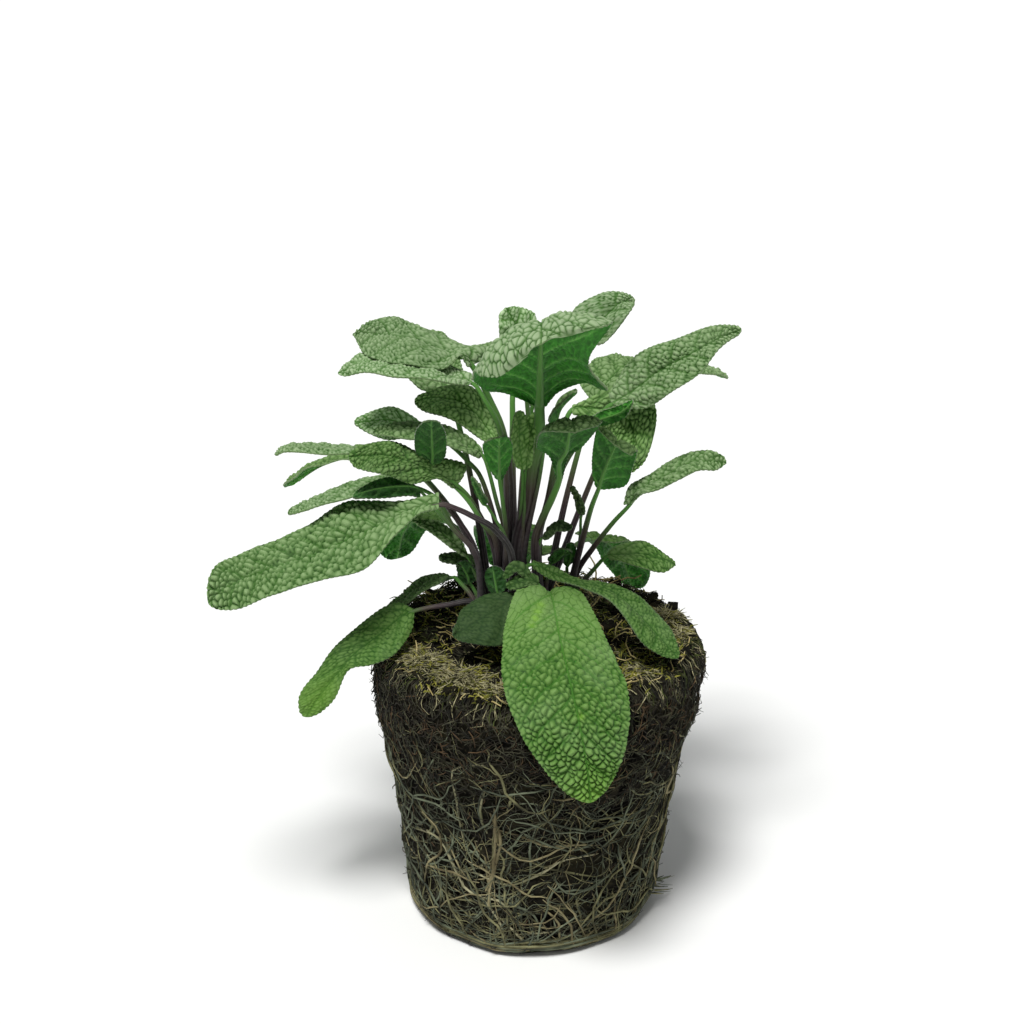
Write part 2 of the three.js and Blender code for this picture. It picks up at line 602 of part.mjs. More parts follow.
function footSolid([x, y]) {
  const top = soilHeight(x, y) + footHeight;
  const bottom = soilHeight(x, y) - footDepth;
  const post = new THREE.CylinderGeometry(footRadius * 0.8, footRadius, top - bottom, footSides);
  post.rotateX(Math.PI / 2);
  post.translate(x, y, (top + bottom) / 2);
  return solidOf(post);
}

function shootSolid({ foot, leaves }) {
  const start = [foot[0], foot[1], soilHeight(...foot) + 2];
  const pieces = [footSolid(foot), ...leaves.flatMap((spec) => leafSolids(spec, start))];
  return wholeBody(wasm.Manifold.union(pieces));
}

// The body itself, without loose scraps, and with the small hollows that fusing seals filled.
function wholeBody(shape) {
  return shape.decompose().reduce((most, piece) => (piece.volume() > most.volume() ? piece : most));
}

// Fixed draws, so that the roots and lumps are the same each time.
function drawer(seed) {
  let state = seed;
  return (low, high) => {
    state = (state * 1664525 + 1013904223) % 4294967296;
    return low + (state / 4294967296) * (high - low);
  };
}

const ballCentre = (height) => (ballDrift * height) / ballHeight;

function lump(angle, height) {
  const wide = 0.5 * Math.sin(3 * angle + 0.09 * height) + 0.4 * Math.sin(7 * angle - 0.13 * height + 1);
  const narrow = 0.35 * Math.sin(11 * angle + 0.3 * height + 2) + 0.3 * Math.sin(5 * angle - 0.4 * height);
  return ballLumps * (wide + narrow);
}

function sideRadius(height) {
  const next = ballProfile.findIndex(([z]) => z >= height);
  if (next <= 0) return ballProfile[0][1];
  const [z0, r0] = ballProfile[next - 1];
  const [z1, r1] = ballProfile[next];
  return THREE.MathUtils.mapLinear(height, z0, z1, r0, r1);
}

function onSide(angle, height, out = 0) {
  const radius = sideRadius(height) + out + (height > 1 ? lump(angle, height) : 0);
  return new THREE.Vector3(ballCentre(height) + radius * Math.cos(angle), radius * Math.sin(angle), height);
}

function onTop(angle, radius) {
  const x = ballDrift + radius * Math.cos(angle);
  const y = radius * Math.sin(angle);
  const rough = 0.7 * Math.sin(0.31 * x + 1) * Math.sin(0.27 * y) + 0.5 * Math.sin(0.7 * x - 0.5 * y);
  return new THREE.Vector3(x, y, soilHeight(x, y) + rough);
}

function ballSolid() {
  const angles = Array.from({ length: ballSides }, (_, i) => (i / ballSides) * 2 * Math.PI);
  const rings = ballProfile.map(([height]) => angles.map((angle) => onSide(angle, height)));
  for (const radius of ballTopRings) rings.push(angles.map((angle) => onTop(angle, radius)));
  return skin(new THREE.Vector3(0, 0, 0), rings, onTop(0, 0));
}

// The thicker roots that lie on the peat: each wanders down the side from its start.
function rootSolids() {
  const draw = drawer(11);
  const roots = [];
  for (let i = 0; i < rootCount; i++) {
    let angle = (i / rootCount) * 2 * Math.PI + draw(-0.15, 0.15);
    let height = draw(40, 62);
    const drift = draw(-0.12, 0.12);
    const points = [];
    while (height > 6) {
      points.push(onSide(angle, height));
      height -= draw(9, 13);
      angle += drift + draw(-0.1, 0.1);
    }
    const curve = new THREE.CatmullRomCurve3(points, false, "catmullrom", 0.5);
    roots.push(stalkAlong(curve, rootThickness * 0.3, rootThickness * 0.5, points.length, rootSides));
  }
  return roots;
}

function holeSolid([x, y]) {
  const top = soilHeight(x, y) + footHeight;
  const bottom = soilHeight(x, y) - footDepth - footGap;
  const radius = footRadius + footGap;
  const hole = new THREE.CylinderGeometry(radius, radius, top - bottom, footSides);
  hole.rotateX(Math.PI / 2);
  hole.translate(x, y, (top + bottom) / 2);
  return solidOf(hole);
}

function rootBall() {
  const body = wasm.Manifold.union([ballSolid(), ...rootSolids()]);
  return body.subtract(wasm.Manifold.union(shoots.map(({ foot }) => holeSolid(foot))));
}

const group = new THREE.Group();
group.add(meshOf("root_ball", rootBall(), peatBrown));
for (const shoot of shoots) group.add(meshOf(shoot.name, shootSolid(shoot), leafGreen));

export default group;
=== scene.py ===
# Looks for a young common sage plant that stands on its bare root ball.
# Metres, +Z up. -Y is the front, over which the largest leaf hangs.
import math
import random

import bpy
import numpy as np
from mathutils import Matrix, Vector, noise


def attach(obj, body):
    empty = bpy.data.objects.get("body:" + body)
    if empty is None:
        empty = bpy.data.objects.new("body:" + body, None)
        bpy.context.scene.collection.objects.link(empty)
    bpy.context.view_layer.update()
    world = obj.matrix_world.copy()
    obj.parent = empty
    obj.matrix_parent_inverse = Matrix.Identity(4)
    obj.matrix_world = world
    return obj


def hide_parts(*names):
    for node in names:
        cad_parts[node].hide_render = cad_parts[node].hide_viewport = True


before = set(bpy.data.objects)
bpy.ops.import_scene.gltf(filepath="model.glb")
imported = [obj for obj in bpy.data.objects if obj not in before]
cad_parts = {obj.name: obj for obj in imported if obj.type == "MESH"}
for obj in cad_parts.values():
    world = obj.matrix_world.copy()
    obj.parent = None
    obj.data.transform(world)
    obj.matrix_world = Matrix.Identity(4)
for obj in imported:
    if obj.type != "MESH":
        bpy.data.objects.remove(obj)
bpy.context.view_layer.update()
mm = 0.001


# Colours and nodes

def linear(hexColour):
    shares = [int(hexColour[i:i + 2], 16) / 255 for i in (1, 3, 5)]
    return tuple(s / 12.92 if s <= 0.04045 else ((s + 0.055) / 1.055) ** 2.4 for s in shares) + (1.0,)


def addNode(tree, kind, settings=None, links=None):
    made = tree.nodes.new("ShaderNode" + kind)
    for key, value in (settings or {}).items():
        if key == "stops":
            setStops(made.color_ramp, value)
        elif isinstance(key, str) and hasattr(made, key):
            setattr(made, key, value)
        else:
            made.inputs[key].default_value = value
    for key, socket in (links or {}).items():
        tree.links.new(socket, made.inputs[key])
    return made


def setStops(ramp, stops):
    while len(ramp.elements) < len(stops):
        ramp.elements.new(0.5)
    for element, (place, hexColour) in zip(ramp.elements, stops):
        element.position = place
        element.color = linear(hexColour)


def startMaterial(name):
    material = bpy.data.materials.new(name)
    material.use_nodes = True
    tree = material.node_tree
    tree.nodes.clear()
    return material, tree


def endMaterial(tree, shader):
    output = addNode(tree, "OutputMaterial")
    tree.links.new(shader.outputs["BSDF"], output.inputs["Surface"])


def perMetre(sizeInMm):  # the scale of a pattern whose cells have this size
    return 1 / (sizeInMm * mm)


# Sage leaf, grown and felted with fine hairs: matt, pale on the pebbles and deep green in the grooves, its
# own colour with painted shade in the grooves and painted light on the pebble tops
leafFinish = {
    # colours from the grooves to the tops of the pebbles, darker in the grooves as painted shade and lighter
    # on the domes as painted light: a grown leaf, a tender one, a thickly felted one
    "topStops": [(0.0, "#10270a"), (0.2, "#2f5119"), (0.5, "#58793c"), (0.85, "#76945a")],
    "freshStops": [(0.0, "#1a3d09"), (0.2, "#2f5b13"), (0.5, "#4c742a"), (0.85, "#648a3f")],
    "paleStops": [(0.0, "#1c3a12"), (0.2, "#44682f"), (0.5, "#739060"), (0.85, "#97ac84")],
    "patchSize": 11.0, "patchRange": (0.45, 0.75), "patchShare": 0.16, "patchColour": "#9fb886",
    # painted light: the glow colour stands for light shining through thin places; the vein colour is the
    # veins' paler green, partly painted light through them
    "paintedGlowColour": "#7fae38", "veinColour": "#4b8427",   # thin places and veins that let the light through
    # pale hairs, the hairs' own colour, laid only on the pebble tops as a painted highlight
    "hairSize": 0.45, "hairRange": (0.5, 0.7), "hairShare": 0.13, "hairColour": "#c3d1b2",
    "hairBump": 0.3, "hairDepth": 0.1,
    "shadeColour": "#172c12",   # for leaves that stand in the shade of others
    "cellSize": 0.75, "cellEdge": 0.3, "cellBump": 0.35, "cellDepth": 0.1,   # the finest cells of the net
    "roughness": 0.75, "specular": 0.25, "sheen": 0.08, "sheenRoughness": 0.4, "sheenTint": "#dfeed6",
}


def makeLeafTop():
    material, tree = startMaterial("feltedSageLeafTop")
    place = addNode(tree, "TexCoord").outputs["Object"]
    onBlade = addNode(tree, "Attribute", {"attribute_name": "onBlade"}).outputs["Vector"]   # in mm
    height, fresh, pale, shade, vein, glow, light = (
        addNode(tree, "Attribute", {"attribute_name": mark}).outputs["Fac"]
        for mark in ("raised", "fresh", "pale", "shade", "vein", "glow", "light"))
    # the pebble height picks the colour: painted shade in the grooves and painted light on the dome tops
    grown, young, felted = (
        addNode(tree, "ValToRGB", {"stops": leafFinish[stops]}, {"Fac": height}).outputs["Color"]
        for stops in ("topStops", "freshStops", "paleStops"))
    colour = addNode(tree, "MixRGB", {}, {"Fac": fresh, "Color1": grown, "Color2": young}).outputs["Color"]
    colour = addNode(tree, "MixRGB", {}, {"Fac": pale, "Color1": colour, "Color2": felted}).outputs["Color"]
    patches = addNode(tree, "TexNoise", {"Scale": perMetre(leafFinish["patchSize"]), "Detail": 3.0},
                      {"Vector": place})
    patchLow, patchHigh = leafFinish["patchRange"]
    patchShare = addNode(tree, "MapRange", {
        "From Min": patchLow, "From Max": patchHigh, "To Max": leafFinish["patchShare"]},
        {"Value": patches.outputs["Fac"]})
    hairs = addNode(tree, "TexNoise", {"Scale": perMetre(leafFinish["hairSize"]), "Detail": 4.0,
                                       "Roughness": 0.7}, {"Vector": place})
    hairLow, hairHigh = leafFinish["hairRange"]
    hairShare = addNode(tree, "MapRange", {
        "From Min": hairLow, "From Max": hairHigh, "To Max": leafFinish["hairShare"]},
        {"Value": hairs.outputs["Fac"]})
    # pale hair specks only where the pebbles are highest: a painted highlight over the hairs' own pale colour
    onTops = addNode(tree, "Math", {"operation": "MULTIPLY"}, {0: hairShare.outputs["Result"], 1: height})
    for name, share in (("patchColour", patchShare.outputs["Result"]), ("paintedGlowColour", glow),
                        ("veinColour", vein), ("hairColour", onTops.outputs["Value"]),
                        ("shadeColour", shade)):
        mixed = addNode(tree, "MixRGB", {"Color2": linear(leafFinish[name])},
                        {"Fac": share, "Color1": colour})
        colour = mixed.outputs["Color"]
    # light multiplies the colour: painted light on leaves that lie in the shade of others, painted shade
    # below 1
    lit = addNode(tree, "HueSaturation", {}, {"Color": colour, "Value": light})
    cells = addNode(tree, "TexVoronoi", {
        "feature": "DISTANCE_TO_EDGE", "Scale": 1 / leafFinish["cellSize"]}, {"Vector": onBlade})
    crinkle = addNode(tree, "MapRange", {"From Max": leafFinish["cellEdge"]},
                      {"Value": cells.outputs["Distance"]})
    fuzz = addNode(tree, "Bump", {
        "Strength": leafFinish["hairBump"], "Distance": leafFinish["hairDepth"] * mm},
        {"Height": hairs.outputs["Fac"]})
    bump = addNode(tree, "Bump", {
        "Strength": leafFinish["cellBump"], "Distance": leafFinish["cellDepth"] * mm},
        {"Height": crinkle.outputs["Result"], "Normal": fuzz.outputs["Normal"]})
    shader = addNode(tree, "BsdfPrincipled", {
        "Roughness": leafFinish["roughness"], "Specular IOR Level": leafFinish["specular"],
        "Sheen Weight": leafFinish["sheen"], "Sheen Roughness": leafFinish["sheenRoughness"],
        "Sheen Tint": linear(leafFinish["sheenTint"])},
        {"Base Color": lit.outputs["Color"], "Normal": bump.outputs["Normal"]})
    endMaterial(tree, shader)
    return material


# The same leaf from below: thinner felt over a deep green, brightened as painted light for the light that
# comes through it, and pale veins
underFinish = {
    "netStops": [(0.0, "#45902c"), (0.3, "#2e7718"), (1.0, "#246511")], "ribColour": "#6aa64c",
    "patchSize": 8.0, "patchRange": (0.3, 0.7), "patchLight": (0.8, 1.2),
    "netSize": 1.6, "netEdge": 0.22, "netLight": (1.3, 0.94), "netBump": 0.9, "netDepth": 0.45,
    "roughness": 0.6, "specular": 0.3, "sheen": 0.1,
}


def makeLeafUnder():
    material, tree = startMaterial("sageLeafUnderside")
    place = addNode(tree, "TexCoord").outputs["Object"]
    onBlade = addNode(tree, "Attribute", {"attribute_name": "onBlade"}).outputs["Vector"]
    height, vein, shade = (addNode(tree, "Attribute", {"attribute_name": mark}).outputs["Fac"]
                           for mark in ("raised", "ribBelow", "shade"))
    net = addNode(tree, "ValToRGB", {"stops": underFinish["netStops"]}, {"Fac": height})
    ribbed = addNode(tree, "MixRGB", {"Color2": linear(underFinish["ribColour"])},
                     {"Fac": vein, "Color1": net.outputs["Color"]})
    patches = addNode(tree, "TexNoise", {"Scale": perMetre(underFinish["patchSize"]), "Detail": 2.0},
                      {"Vector": place})
    cells = addNode(tree, "TexVoronoi", {
        "feature": "DISTANCE_TO_EDGE", "Scale": 1 / underFinish["netSize"]}, {"Vector": onBlade})
    colour = ribbed.outputs["Color"]
    for value, reach, light in (
            (patches.outputs["Fac"], underFinish["patchRange"], underFinish["patchLight"]),
            (cells.outputs["Distance"], (0, underFinish["netEdge"]), underFinish["netLight"])):
        lightness = addNode(tree, "MapRange", {
            "From Min": reach[0], "From Max": reach[1], "To Min": light[0], "To Max": light[1]},
            {"Value": value})
        lit = addNode(tree, "HueSaturation", {}, {"Color": colour, "Value": lightness.outputs["Result"]})
        colour = lit.outputs["Color"]
    shaded = addNode(tree, "MixRGB", {"Color2": linear(leafFinish["shadeColour"])},
                     {"Fac": shade, "Color1": colour})
    bump = addNode(tree, "Bump", {
        "Strength": underFinish["netBump"], "Distance": underFinish["netDepth"] * mm, "invert": True},
        {"Height": cells.outputs["Distance"]})
    shader = addNode(tree, "BsdfPrincipled", {
        "Roughness": underFinish["roughness"], "Specular IOR Level": underFinish["specular"],
        "Sheen Weight": underFinish["sheen"]},
        {"Base Color": shaded.outputs["Color"], "Normal": bump.outputs["Normal"]})
    endMaterial(tree, shader)
    return material


# The leaf's edge: a pale line, the hairs' own pale colour with painted light where they stand against the
# light
rimFinish = {
    "stops": [(0.3, "#4c6a34"), (0.7, "#82996a")], "hairSize": 0.5,
    "roughness": 0.85, "specular": 0.2, "sheen": 0.3,
}


def makeLeafRim():
    material, tree = startMaterial("sageLeafRimHairsAndPaintedLight")
    place = addNode(tree, "TexCoord").outputs["Object"]
    shade = addNode(tree, "Attribute", {"attribute_name": "shade"}).outputs["Fac"]
    hairs = addNode(tree, "TexNoise", {"Scale": perMetre(rimFinish["hairSize"])}, {"Vector": place})
    pale = addNode(tree, "ValToRGB", {"stops": rimFinish["stops"]}, {"Fac": hairs.outputs["Fac"]})
    shaded = addNode(tree, "MixRGB", {"Color2": linear(leafFinish["shadeColour"])},
                     {"Fac": shade, "Color1": pale.outputs["Color"]})
    shader = addNode(tree, "BsdfPrincipled", {
        "Roughness": rimFinish["roughness"], "Specular IOR Level": rimFinish["specular"],
        "Sheen Weight": rimFinish["sheen"]}, {"Base Color": shaded.outputs["Color"]})
    endMaterial(tree, shader)
    return material


# Square sage stalk: purple-brown at the crown and green near the leaf, with silver hairs along its ribs
stalkFinish = {
    "stops": [(0.0, "#0d0608"), (0.35, "#2c181e"), (0.6, "#403829"), (1.0, "#4c8030")],
    "ribColour": "#a5a09e", "ribShare": 0.28, "hairyUpTo": 1.15,   # the hairs thin out on the green
    "streakSize": 1.1, "roughness": 0.6, "specular": 0.3, "sheen": 0.1,
}


def makeStalk():
    material, tree = startMaterial("hairySageStalk")
    place = addNode(tree, "TexCoord").outputs["Object"]
    greening, ribs = (addNode(tree, "Attribute", {"attribute_name": mark}).outputs["Fac"]
                      for mark in ("green", "rib"))
    grown = addNode(tree, "ValToRGB", {"stops": stalkFinish["stops"]}, {"Fac": greening})
    streaks = addNode(tree, "TexNoise", {"Scale": perMetre(stalkFinish["streakSize"]), "Detail": 3.0},
                      {"Vector": place})
    purple = addNode(tree, "Math", {"operation": "SUBTRACT", 0: stalkFinish["hairyUpTo"]}, {1: greening})
    share = streaks.outputs["Fac"]
    for factor in (ribs, purple.outputs["Value"]):
        share = addNode(tree, "Math", {"operation": "MULTIPLY"}, {0: share, 1: factor}).outputs["Value"]
    hairShare = addNode(tree, "Math", {"operation": "MULTIPLY", 1: stalkFinish["ribShare"]}, {0: share})
    ribbed = addNode(tree, "MixRGB", {"Color2": linear(stalkFinish["ribColour"])},
                     {"Fac": hairShare.outputs["Value"], "Color1": grown.outputs["Color"]})
    shader = addNode(tree, "BsdfPrincipled", {
        "Roughness": stalkFinish["roughness"], "Specular IOR Level": stalkFinish["specular"],
        "Sheen Weight": stalkFinish["sheen"]}, {"Base Color": ribbed.outputs["Color"]})
    endMaterial(tree, shader)
    return material


# Peat, compressed plant remains: dark, crumbly and dead matt, browner where it has dried, and darker in its
# hollows as painted shade
peatFinish = {
    "stops": [(0.25, "#080806"), (0.45, "#14130e"), (0.6, "#232118"), (0.75, "#3f3b2b")],
    "crumbSize": 1.3, "crumbBump": 0.9, "crumbDepth": 0.5,
    "drySize": 9.0, "dryRange": (0.5, 0.7), "dryShare": 0.5, "dryColour": "#36321f",
    "hollowShadeTint": "#3a332c", "roughness": 1.0, "specular": 0.1,
}


def makePeat():
    material, tree = startMaterial("crumblyPeat")
    place = addNode(tree, "TexCoord").outputs["Object"]
    deep = addNode(tree, "Attribute", {"attribute_name": "hollow"}).outputs["Fac"]
    crumbs = addNode(tree, "TexNoise", {"Scale": perMetre(peatFinish["crumbSize"]), "Detail": 6.0,
                                        "Roughness": 0.7}, {"Vector": place})
    dark = addNode(tree, "ValToRGB", {"stops": peatFinish["stops"]}, {"Fac": crumbs.outputs["Fac"]})
    dry = addNode(tree, "TexNoise", {"Scale": perMetre(peatFinish["drySize"]), "Detail": 4.0},
                  {"Vector": place})
    dryLow, dryHigh = peatFinish["dryRange"]
    dryShare = addNode(tree, "MapRange", {"From Min": dryLow, "From Max": dryHigh,
                                          "To Max": peatFinish["dryShare"]}, {"Value": dry.outputs["Fac"]})
    dried = addNode(tree, "MixRGB", {"Color2": linear(peatFinish["dryColour"])},
                    {"Fac": dryShare.outputs["Result"], "Color1": dark.outputs["Color"]})
    # painted shade: the peat is darkened in the hollows of the ball's rough surface
    hollow = addNode(tree, "MixRGB", {"blend_type": "MULTIPLY", "Color2": linear(peatFinish["hollowShadeTint"])},
                     {"Fac": deep, "Color1": dried.outputs["Color"]})
    bump = addNode(tree, "Bump", {
        "Strength": peatFinish["crumbBump"], "Distance": peatFinish["crumbDepth"] * mm},
        {"Height": crumbs.outputs["Fac"]})
    shader = addNode(tree, "BsdfPrincipled", {
        "Roughness": peatFinish["roughness"], "Specular IOR Level": peatFinish["specular"]},
        {"Base Color": hollow.outputs["Color"], "Normal": bump.outputs["Normal"]})
    endMaterial(tree, shader)
    return material


# Living and dead fibres, roots, straw and moss: matt strands whose colour drifts along them
strandFinish = {"stops": (0.35, 0.65), "roughness": 0.8, "specular": 0.25}


def makeStrandFinish(name, darkColour, lightColour, patchSize):
    material, tree = startMaterial(name)
    place = addNode(tree, "TexCoord").outputs["Object"]
    drift = addNode(tree, "TexNoise", {"Scale": perMetre(patchSize), "Detail": 3.0}, {"Vector": place})
    stops = list(zip(strandFinish["stops"], (darkColour, lightColour)))
    colour = addNode(tree, "ValToRGB", {"stops": stops}, {"Fac": drift.outputs["Fac"]})
    shader = addNode(tree, "BsdfPrincipled", {
        "Roughness": strandFinish["roughness"], "Specular IOR Level": strandFinish["specular"]},
        {"Base Color": colour.outputs["Color"]})
    endMaterial(tree, shader)
    return material


leafTop, leafUnder, leafRim, stalkSkin, peat = (
    makeLeafTop(), makeLeafUnder(), makeLeafRim(), makeStalk(), makePeat())
# name, dark and light colour, and the size in mm of the patches between which the colour drifts
rootKhaki = makeStrandFinish("khakiRoot", "#3f3e2a", "#87855f", 6)
rootGrey = makeStrandFinish("greyOliveRoot", "#34392e", "#717861", 7)
rootTan = makeStrandFinish("tanRoot", "#585037", "#9a916c", 8)
rootPale = makeStrandFinish("paleKhakiRoot", "#5f5f44", "#b0ab88", 9)
fibreBrown = makeStrandFinish("darkPeatFibre", "#100f0b", "#2d281d", 3)
fibreOlive = makeStrandFinish("olivePeatFibre", "#1f2018", "#4e4d3a", 3)
fibreOrange = makeStrandFinish("orangePeatFibre", "#33291c", "#5e4a32", 4)
coirPale = makeStrandFinish("paleCoir", "#5c583b", "#bab38a", 2)
strawPale = makeStrandFinish("paleStraw", "#8c7c4a", "#c2b37e", 5)
mossYellow = makeStrandFinish("yellowGreenMoss", "#4c5018", "#8f8b38", 3)
mossOlive = makeStrandFinish("oliveMoss", "#262c14", "#515a2a", 3)
print("materials made")


# Helpers for meshes

def deselectAll():
    bpy.ops.object.select_all(action="DESELECT")


def pick(*pieces):
    deselectAll()
    for piece in pieces:
        piece.select_set(True)
    bpy.context.view_layer.objects.active = pieces[0]


def layGrid(across, along, rule):
    # a flat grid, laid where the rule puts each point's shares across and along
    deselectAll()
    bpy.ops.mesh.primitive_grid_add(x_subdivisions=across, y_subdivisions=along, size=2)
    piece = bpy.context.object
    flat = np.empty(len(piece.data.vertices) * 3)
    piece.data.vertices.foreach_get("co", flat)
    shares = flat.reshape(-1, 3)[:, :2] / 2 + 0.5
    points, marks = rule(shares[:, 0], shares[:, 1])
    piece.data.vertices.foreach_set("co", (points * mm).ravel())
    for name, values in marks.items():
        if np.ndim(values) == 2:
            mark = piece.data.attributes.new(name, "FLOAT_VECTOR", "POINT")
            mark.data.foreach_set("vector", values.ravel())
        else:
            mark = piece.data.attributes.new(name, "FLOAT", "POINT")
            mark.data.foreach_set("value", np.broadcast_to(values, len(points)).astype(np.float32))
    piece.data.update()
    return piece


def weld(piece, gap=0.02 * mm):
    pick(piece)
    bpy.ops.object.mode_set(mode="EDIT")
    bpy.ops.mesh.select_all(action="SELECT")
    bpy.ops.mesh.remove_doubles(threshold=gap)
    bpy.ops.object.mode_set(mode="OBJECT")


def joinAs(name, pieces):
    pick(*pieces)
    if len(pieces) > 1:
        bpy.ops.object.join()
    piece = bpy.context.object
    piece.name = name
    piece.data.name = name
    bpy.ops.object.shade_smooth()
    return piece


def finishPiece(piece, node=None):
    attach(piece, "root")
    if node:
        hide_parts(node)


def unit(rows):
    return rows / np.maximum(1e-9, np.linalg.norm(rows, axis=-1, keepdims=True))


def smoothstep(low, high, value):
    t = np.clip((value - low) / (high - low), 0, 1)
    return t * t * (3 - 2 * t)


knotSteps = 60   # points on a path between two of its knots


def smoothPath(knots, perSpan=knotSteps):
    # a curve through the knots, with the length run up to each of its points
    knots = np.array(knots, float)
    padded = np.vstack([2 * knots[0] - knots[1], knots, 2 * knots[-1] - knots[-2]])
    t = np.linspace(0, 1, perSpan, endpoint=False)[:, None]
    spans = []
    for a, b, c, d in zip(padded, padded[1:], padded[2:], padded[3:]):
        slopeIn, slopeOut = (c - a) / 2, (d - b) / 2
        spans.append((2 * t**3 - 3 * t**2 + 1) * b + (t**3 - 2 * t**2 + t) * slopeIn
                     + (3 * t**2 - 2 * t**3) * c + (t**3 - t**2) * slopeOut)
    points = np.vstack(spans + [knots[-1]])
    runs = np.concatenate([[0], np.cumsum(np.linalg.norm(np.diff(points, axis=0), axis=1))])
    return {"points": points, "runs": runs, "length": runs[-1], "knotRuns": runs[::perSpan]}


def pathAt(path, run):
    return np.stack([np.interp(run, path["runs"], path["points"][:, i]) for i in range(3)], -1)


def pathAhead(path, run, reach=0.6):
    return unit(pathAt(path, run + reach) - pathAt(path, run - reach))


# Leaves

crown = {"mound": 3, "moundPlace": (-3, 8), "moundReach": 16, "ballHeight": 92, "stalkLift": 2}
blades = {
    "grain": 0.38, "lowerGrain": 0.5,   # mm between the points of the upper and the lower sheet
    "bigGrain": 0.28, "bigWidth": 34,   # the same on the upper sheet of leaves wider than this
    "endGap": 0.004, "crowding": 0.4,   # rows begin this share inside it, and stand closer at its ends
    "tipRound": 0.05,   # the last share of a laid leaf, which closes in a round tip
    "thickness": 0.55, "rimSteps": 2,   # mm, and the number of rows that turn down over the edge
    "boldness": 2.3, "groove": 0.42, "jitter": 0.75,   # pebbles: height, width of the grooves, disorder
    "wobble": 0.14,   # how far their rows swing, in pebbles
    "hollow": 0.7,   # the share of each pebble that also shows from below, as a hollow
    "foldSoft": 1.3,   # mm over which the surface turns at the fold
    "quilt": 0.8,   # mm of bulge between two side veins
    "toothPitch": 1.6, "toothDepth": 0.3,
    "ruffle": 0.35, "laidRuffle": 0.4, "ruffleLength": 13,   # mm, its share on a laid leaf, mm per wave
    "puff": 0.3,   # how much the halves of a laid leaf bulge
}
veins = {
    "every": 8.5, "lean": 0.95,   # side veins: mm apart, and their slant towards the tip
    "narrow": 15, "narrowShare": 0.65,   # on leaves narrower than this they stand closer
    "width": 0.3, "midribWidth": 0.24, "sideShare": 0.65,   # mm above, and how bright the side veins are
    "widthBelow": 0.28, "shareBelow": 0.8, "ribBelow": 0.22, "ribWiden": 0.011,   # the same below
    "midribHeight": 0.5, "sideHeight": 0.22,   # mm that they stand out below
}
stalks = {
    "thin": 0.45, "widen": 0.02,   # radius in mm, and what it gains with each mm of the leaf's width
    "baseShare": 1.5, "bladeShare": 0.8, "tipRadius": 0.16, "underBlade": 0.9,
    "sides": 16, "slim": 8, "slimSides": 8, "step": 1.3,   # leaves up to this width have plainer stalks
    "ribs": 8, "ribHeight": 0.07, "square": 0.08, "channel": 0.3, "channelWidth": 0.5, "sunk": 0.12,
}

# What a leaf has where its own entry says nothing else. pebble is the size of its pebbles in mm, relief their
# height, flatter their length along the leaf and calm how much of them its base shows. rib is how bright the
# midrib is, light a factor on the leaf's colour that paints light above 1 and shade below 1, purple how far
# up the stalk stays purple, and stout how thick it is.
usualLooks = {
    "pebble": 2.2, "relief": 0.42, "flatter": 0.76, "calm": 0.75, "rib": 0.3,
    "light": 1.0, "shade": 0.0, "fresh": 0.0, "pale": 0.0, "purple": 0.5, "stout": 1.0,
}
# The form of a plain leaf: fold in degrees, cup across it, lean of its widest place, fullness, narrow base
usualForm = {
    "face": [0, 0, 1], "fold": 8, "cup": 0.12, "lean": 0.92, "full": 2.3, "wing": 0.35, "taper": 0.12,
    "ruffle": blades["ruffle"],
}


def leaf(stalk, blade, width, **form):
    return {"stalk": stalk, "blade": blade, "width": width, **usualForm, **usualLooks, **form}


def laidLeaf(stalk, rows, **form):
    # rows from base to tip, each with a place on the left rim, the midrib and the right rim
    left, middle, right = (np.array([row[i] for row in rows], float) for i in range(3))
    width = float(np.linalg.norm(right - left, axis=1).max())
    return {"stalk": stalk, "blade": middle.tolist(), "width": width,
            "rims": (smoothPath(left), smoothPath(right)), "puff": blades["puff"],
            "ruffle": blades["laidRuffle"] * blades["ruffle"], **usualLooks, **form}


def soilHeight(x, y):
    away = np.hypot(x - crown["moundPlace"][0], y - crown["moundPlace"][1])
    return crown["ballHeight"] + crown["mound"] * np.exp(-(away / crown["moundReach"])**2)


def knotAt(path, knot):  # a place given by the number of its knot, which may be a fraction
    spot, numbers = knot * knotSteps, np.arange(len(path["points"]))
    return np.stack([np.interp(spot, numbers, path["points"][:, i]) for i in range(3)], -1)


def runAt(spec, path, start, u):
    if "rims" not in spec:
        return start + u * (path["length"] - start)
    knot = len(spec["stalk"]) + 1 + u * (len(spec["blade"]) - 1)
    return np.interp(knot * knotSteps, np.arange(len(path["runs"])), path["runs"])


def shareAt(spec, path, start, run):
    if "rims" not in spec:
        return (run - start) / (path["length"] - start)
    knot = np.interp(run, path["runs"], np.arange(len(path["runs"]))) / knotSteps
    return (knot - len(spec["stalk"]) - 1) / (len(spec["blade"]) - 1)


def rimsAt(spec, u):
    knot = np.clip(u, 0, 1) * (len(spec["blade"]) - 1)
    return [knotAt(rim, knot) for rim in spec["rims"]]


def tipRound(u):  # the last bit of a laid leaf closes in a round tip
    return np.sqrt(1 - np.clip((u - 1 + blades["tipRound"]) / blades["tipRound"], 0, 0.999)**2)


def bladeFrame(spec, path, start, u):
    run = runAt(spec, path, start, u)
    ahead = pathAhead(path, run)
    if "rims" in spec:
        left, right = rimsAt(spec, u)
        side = unit(right - left)
    else:
        side = unit(np.cross(ahead, np.array(spec["face"], float)))
    return pathAt(path, run), ahead, side, unit(np.cross(side, ahead))


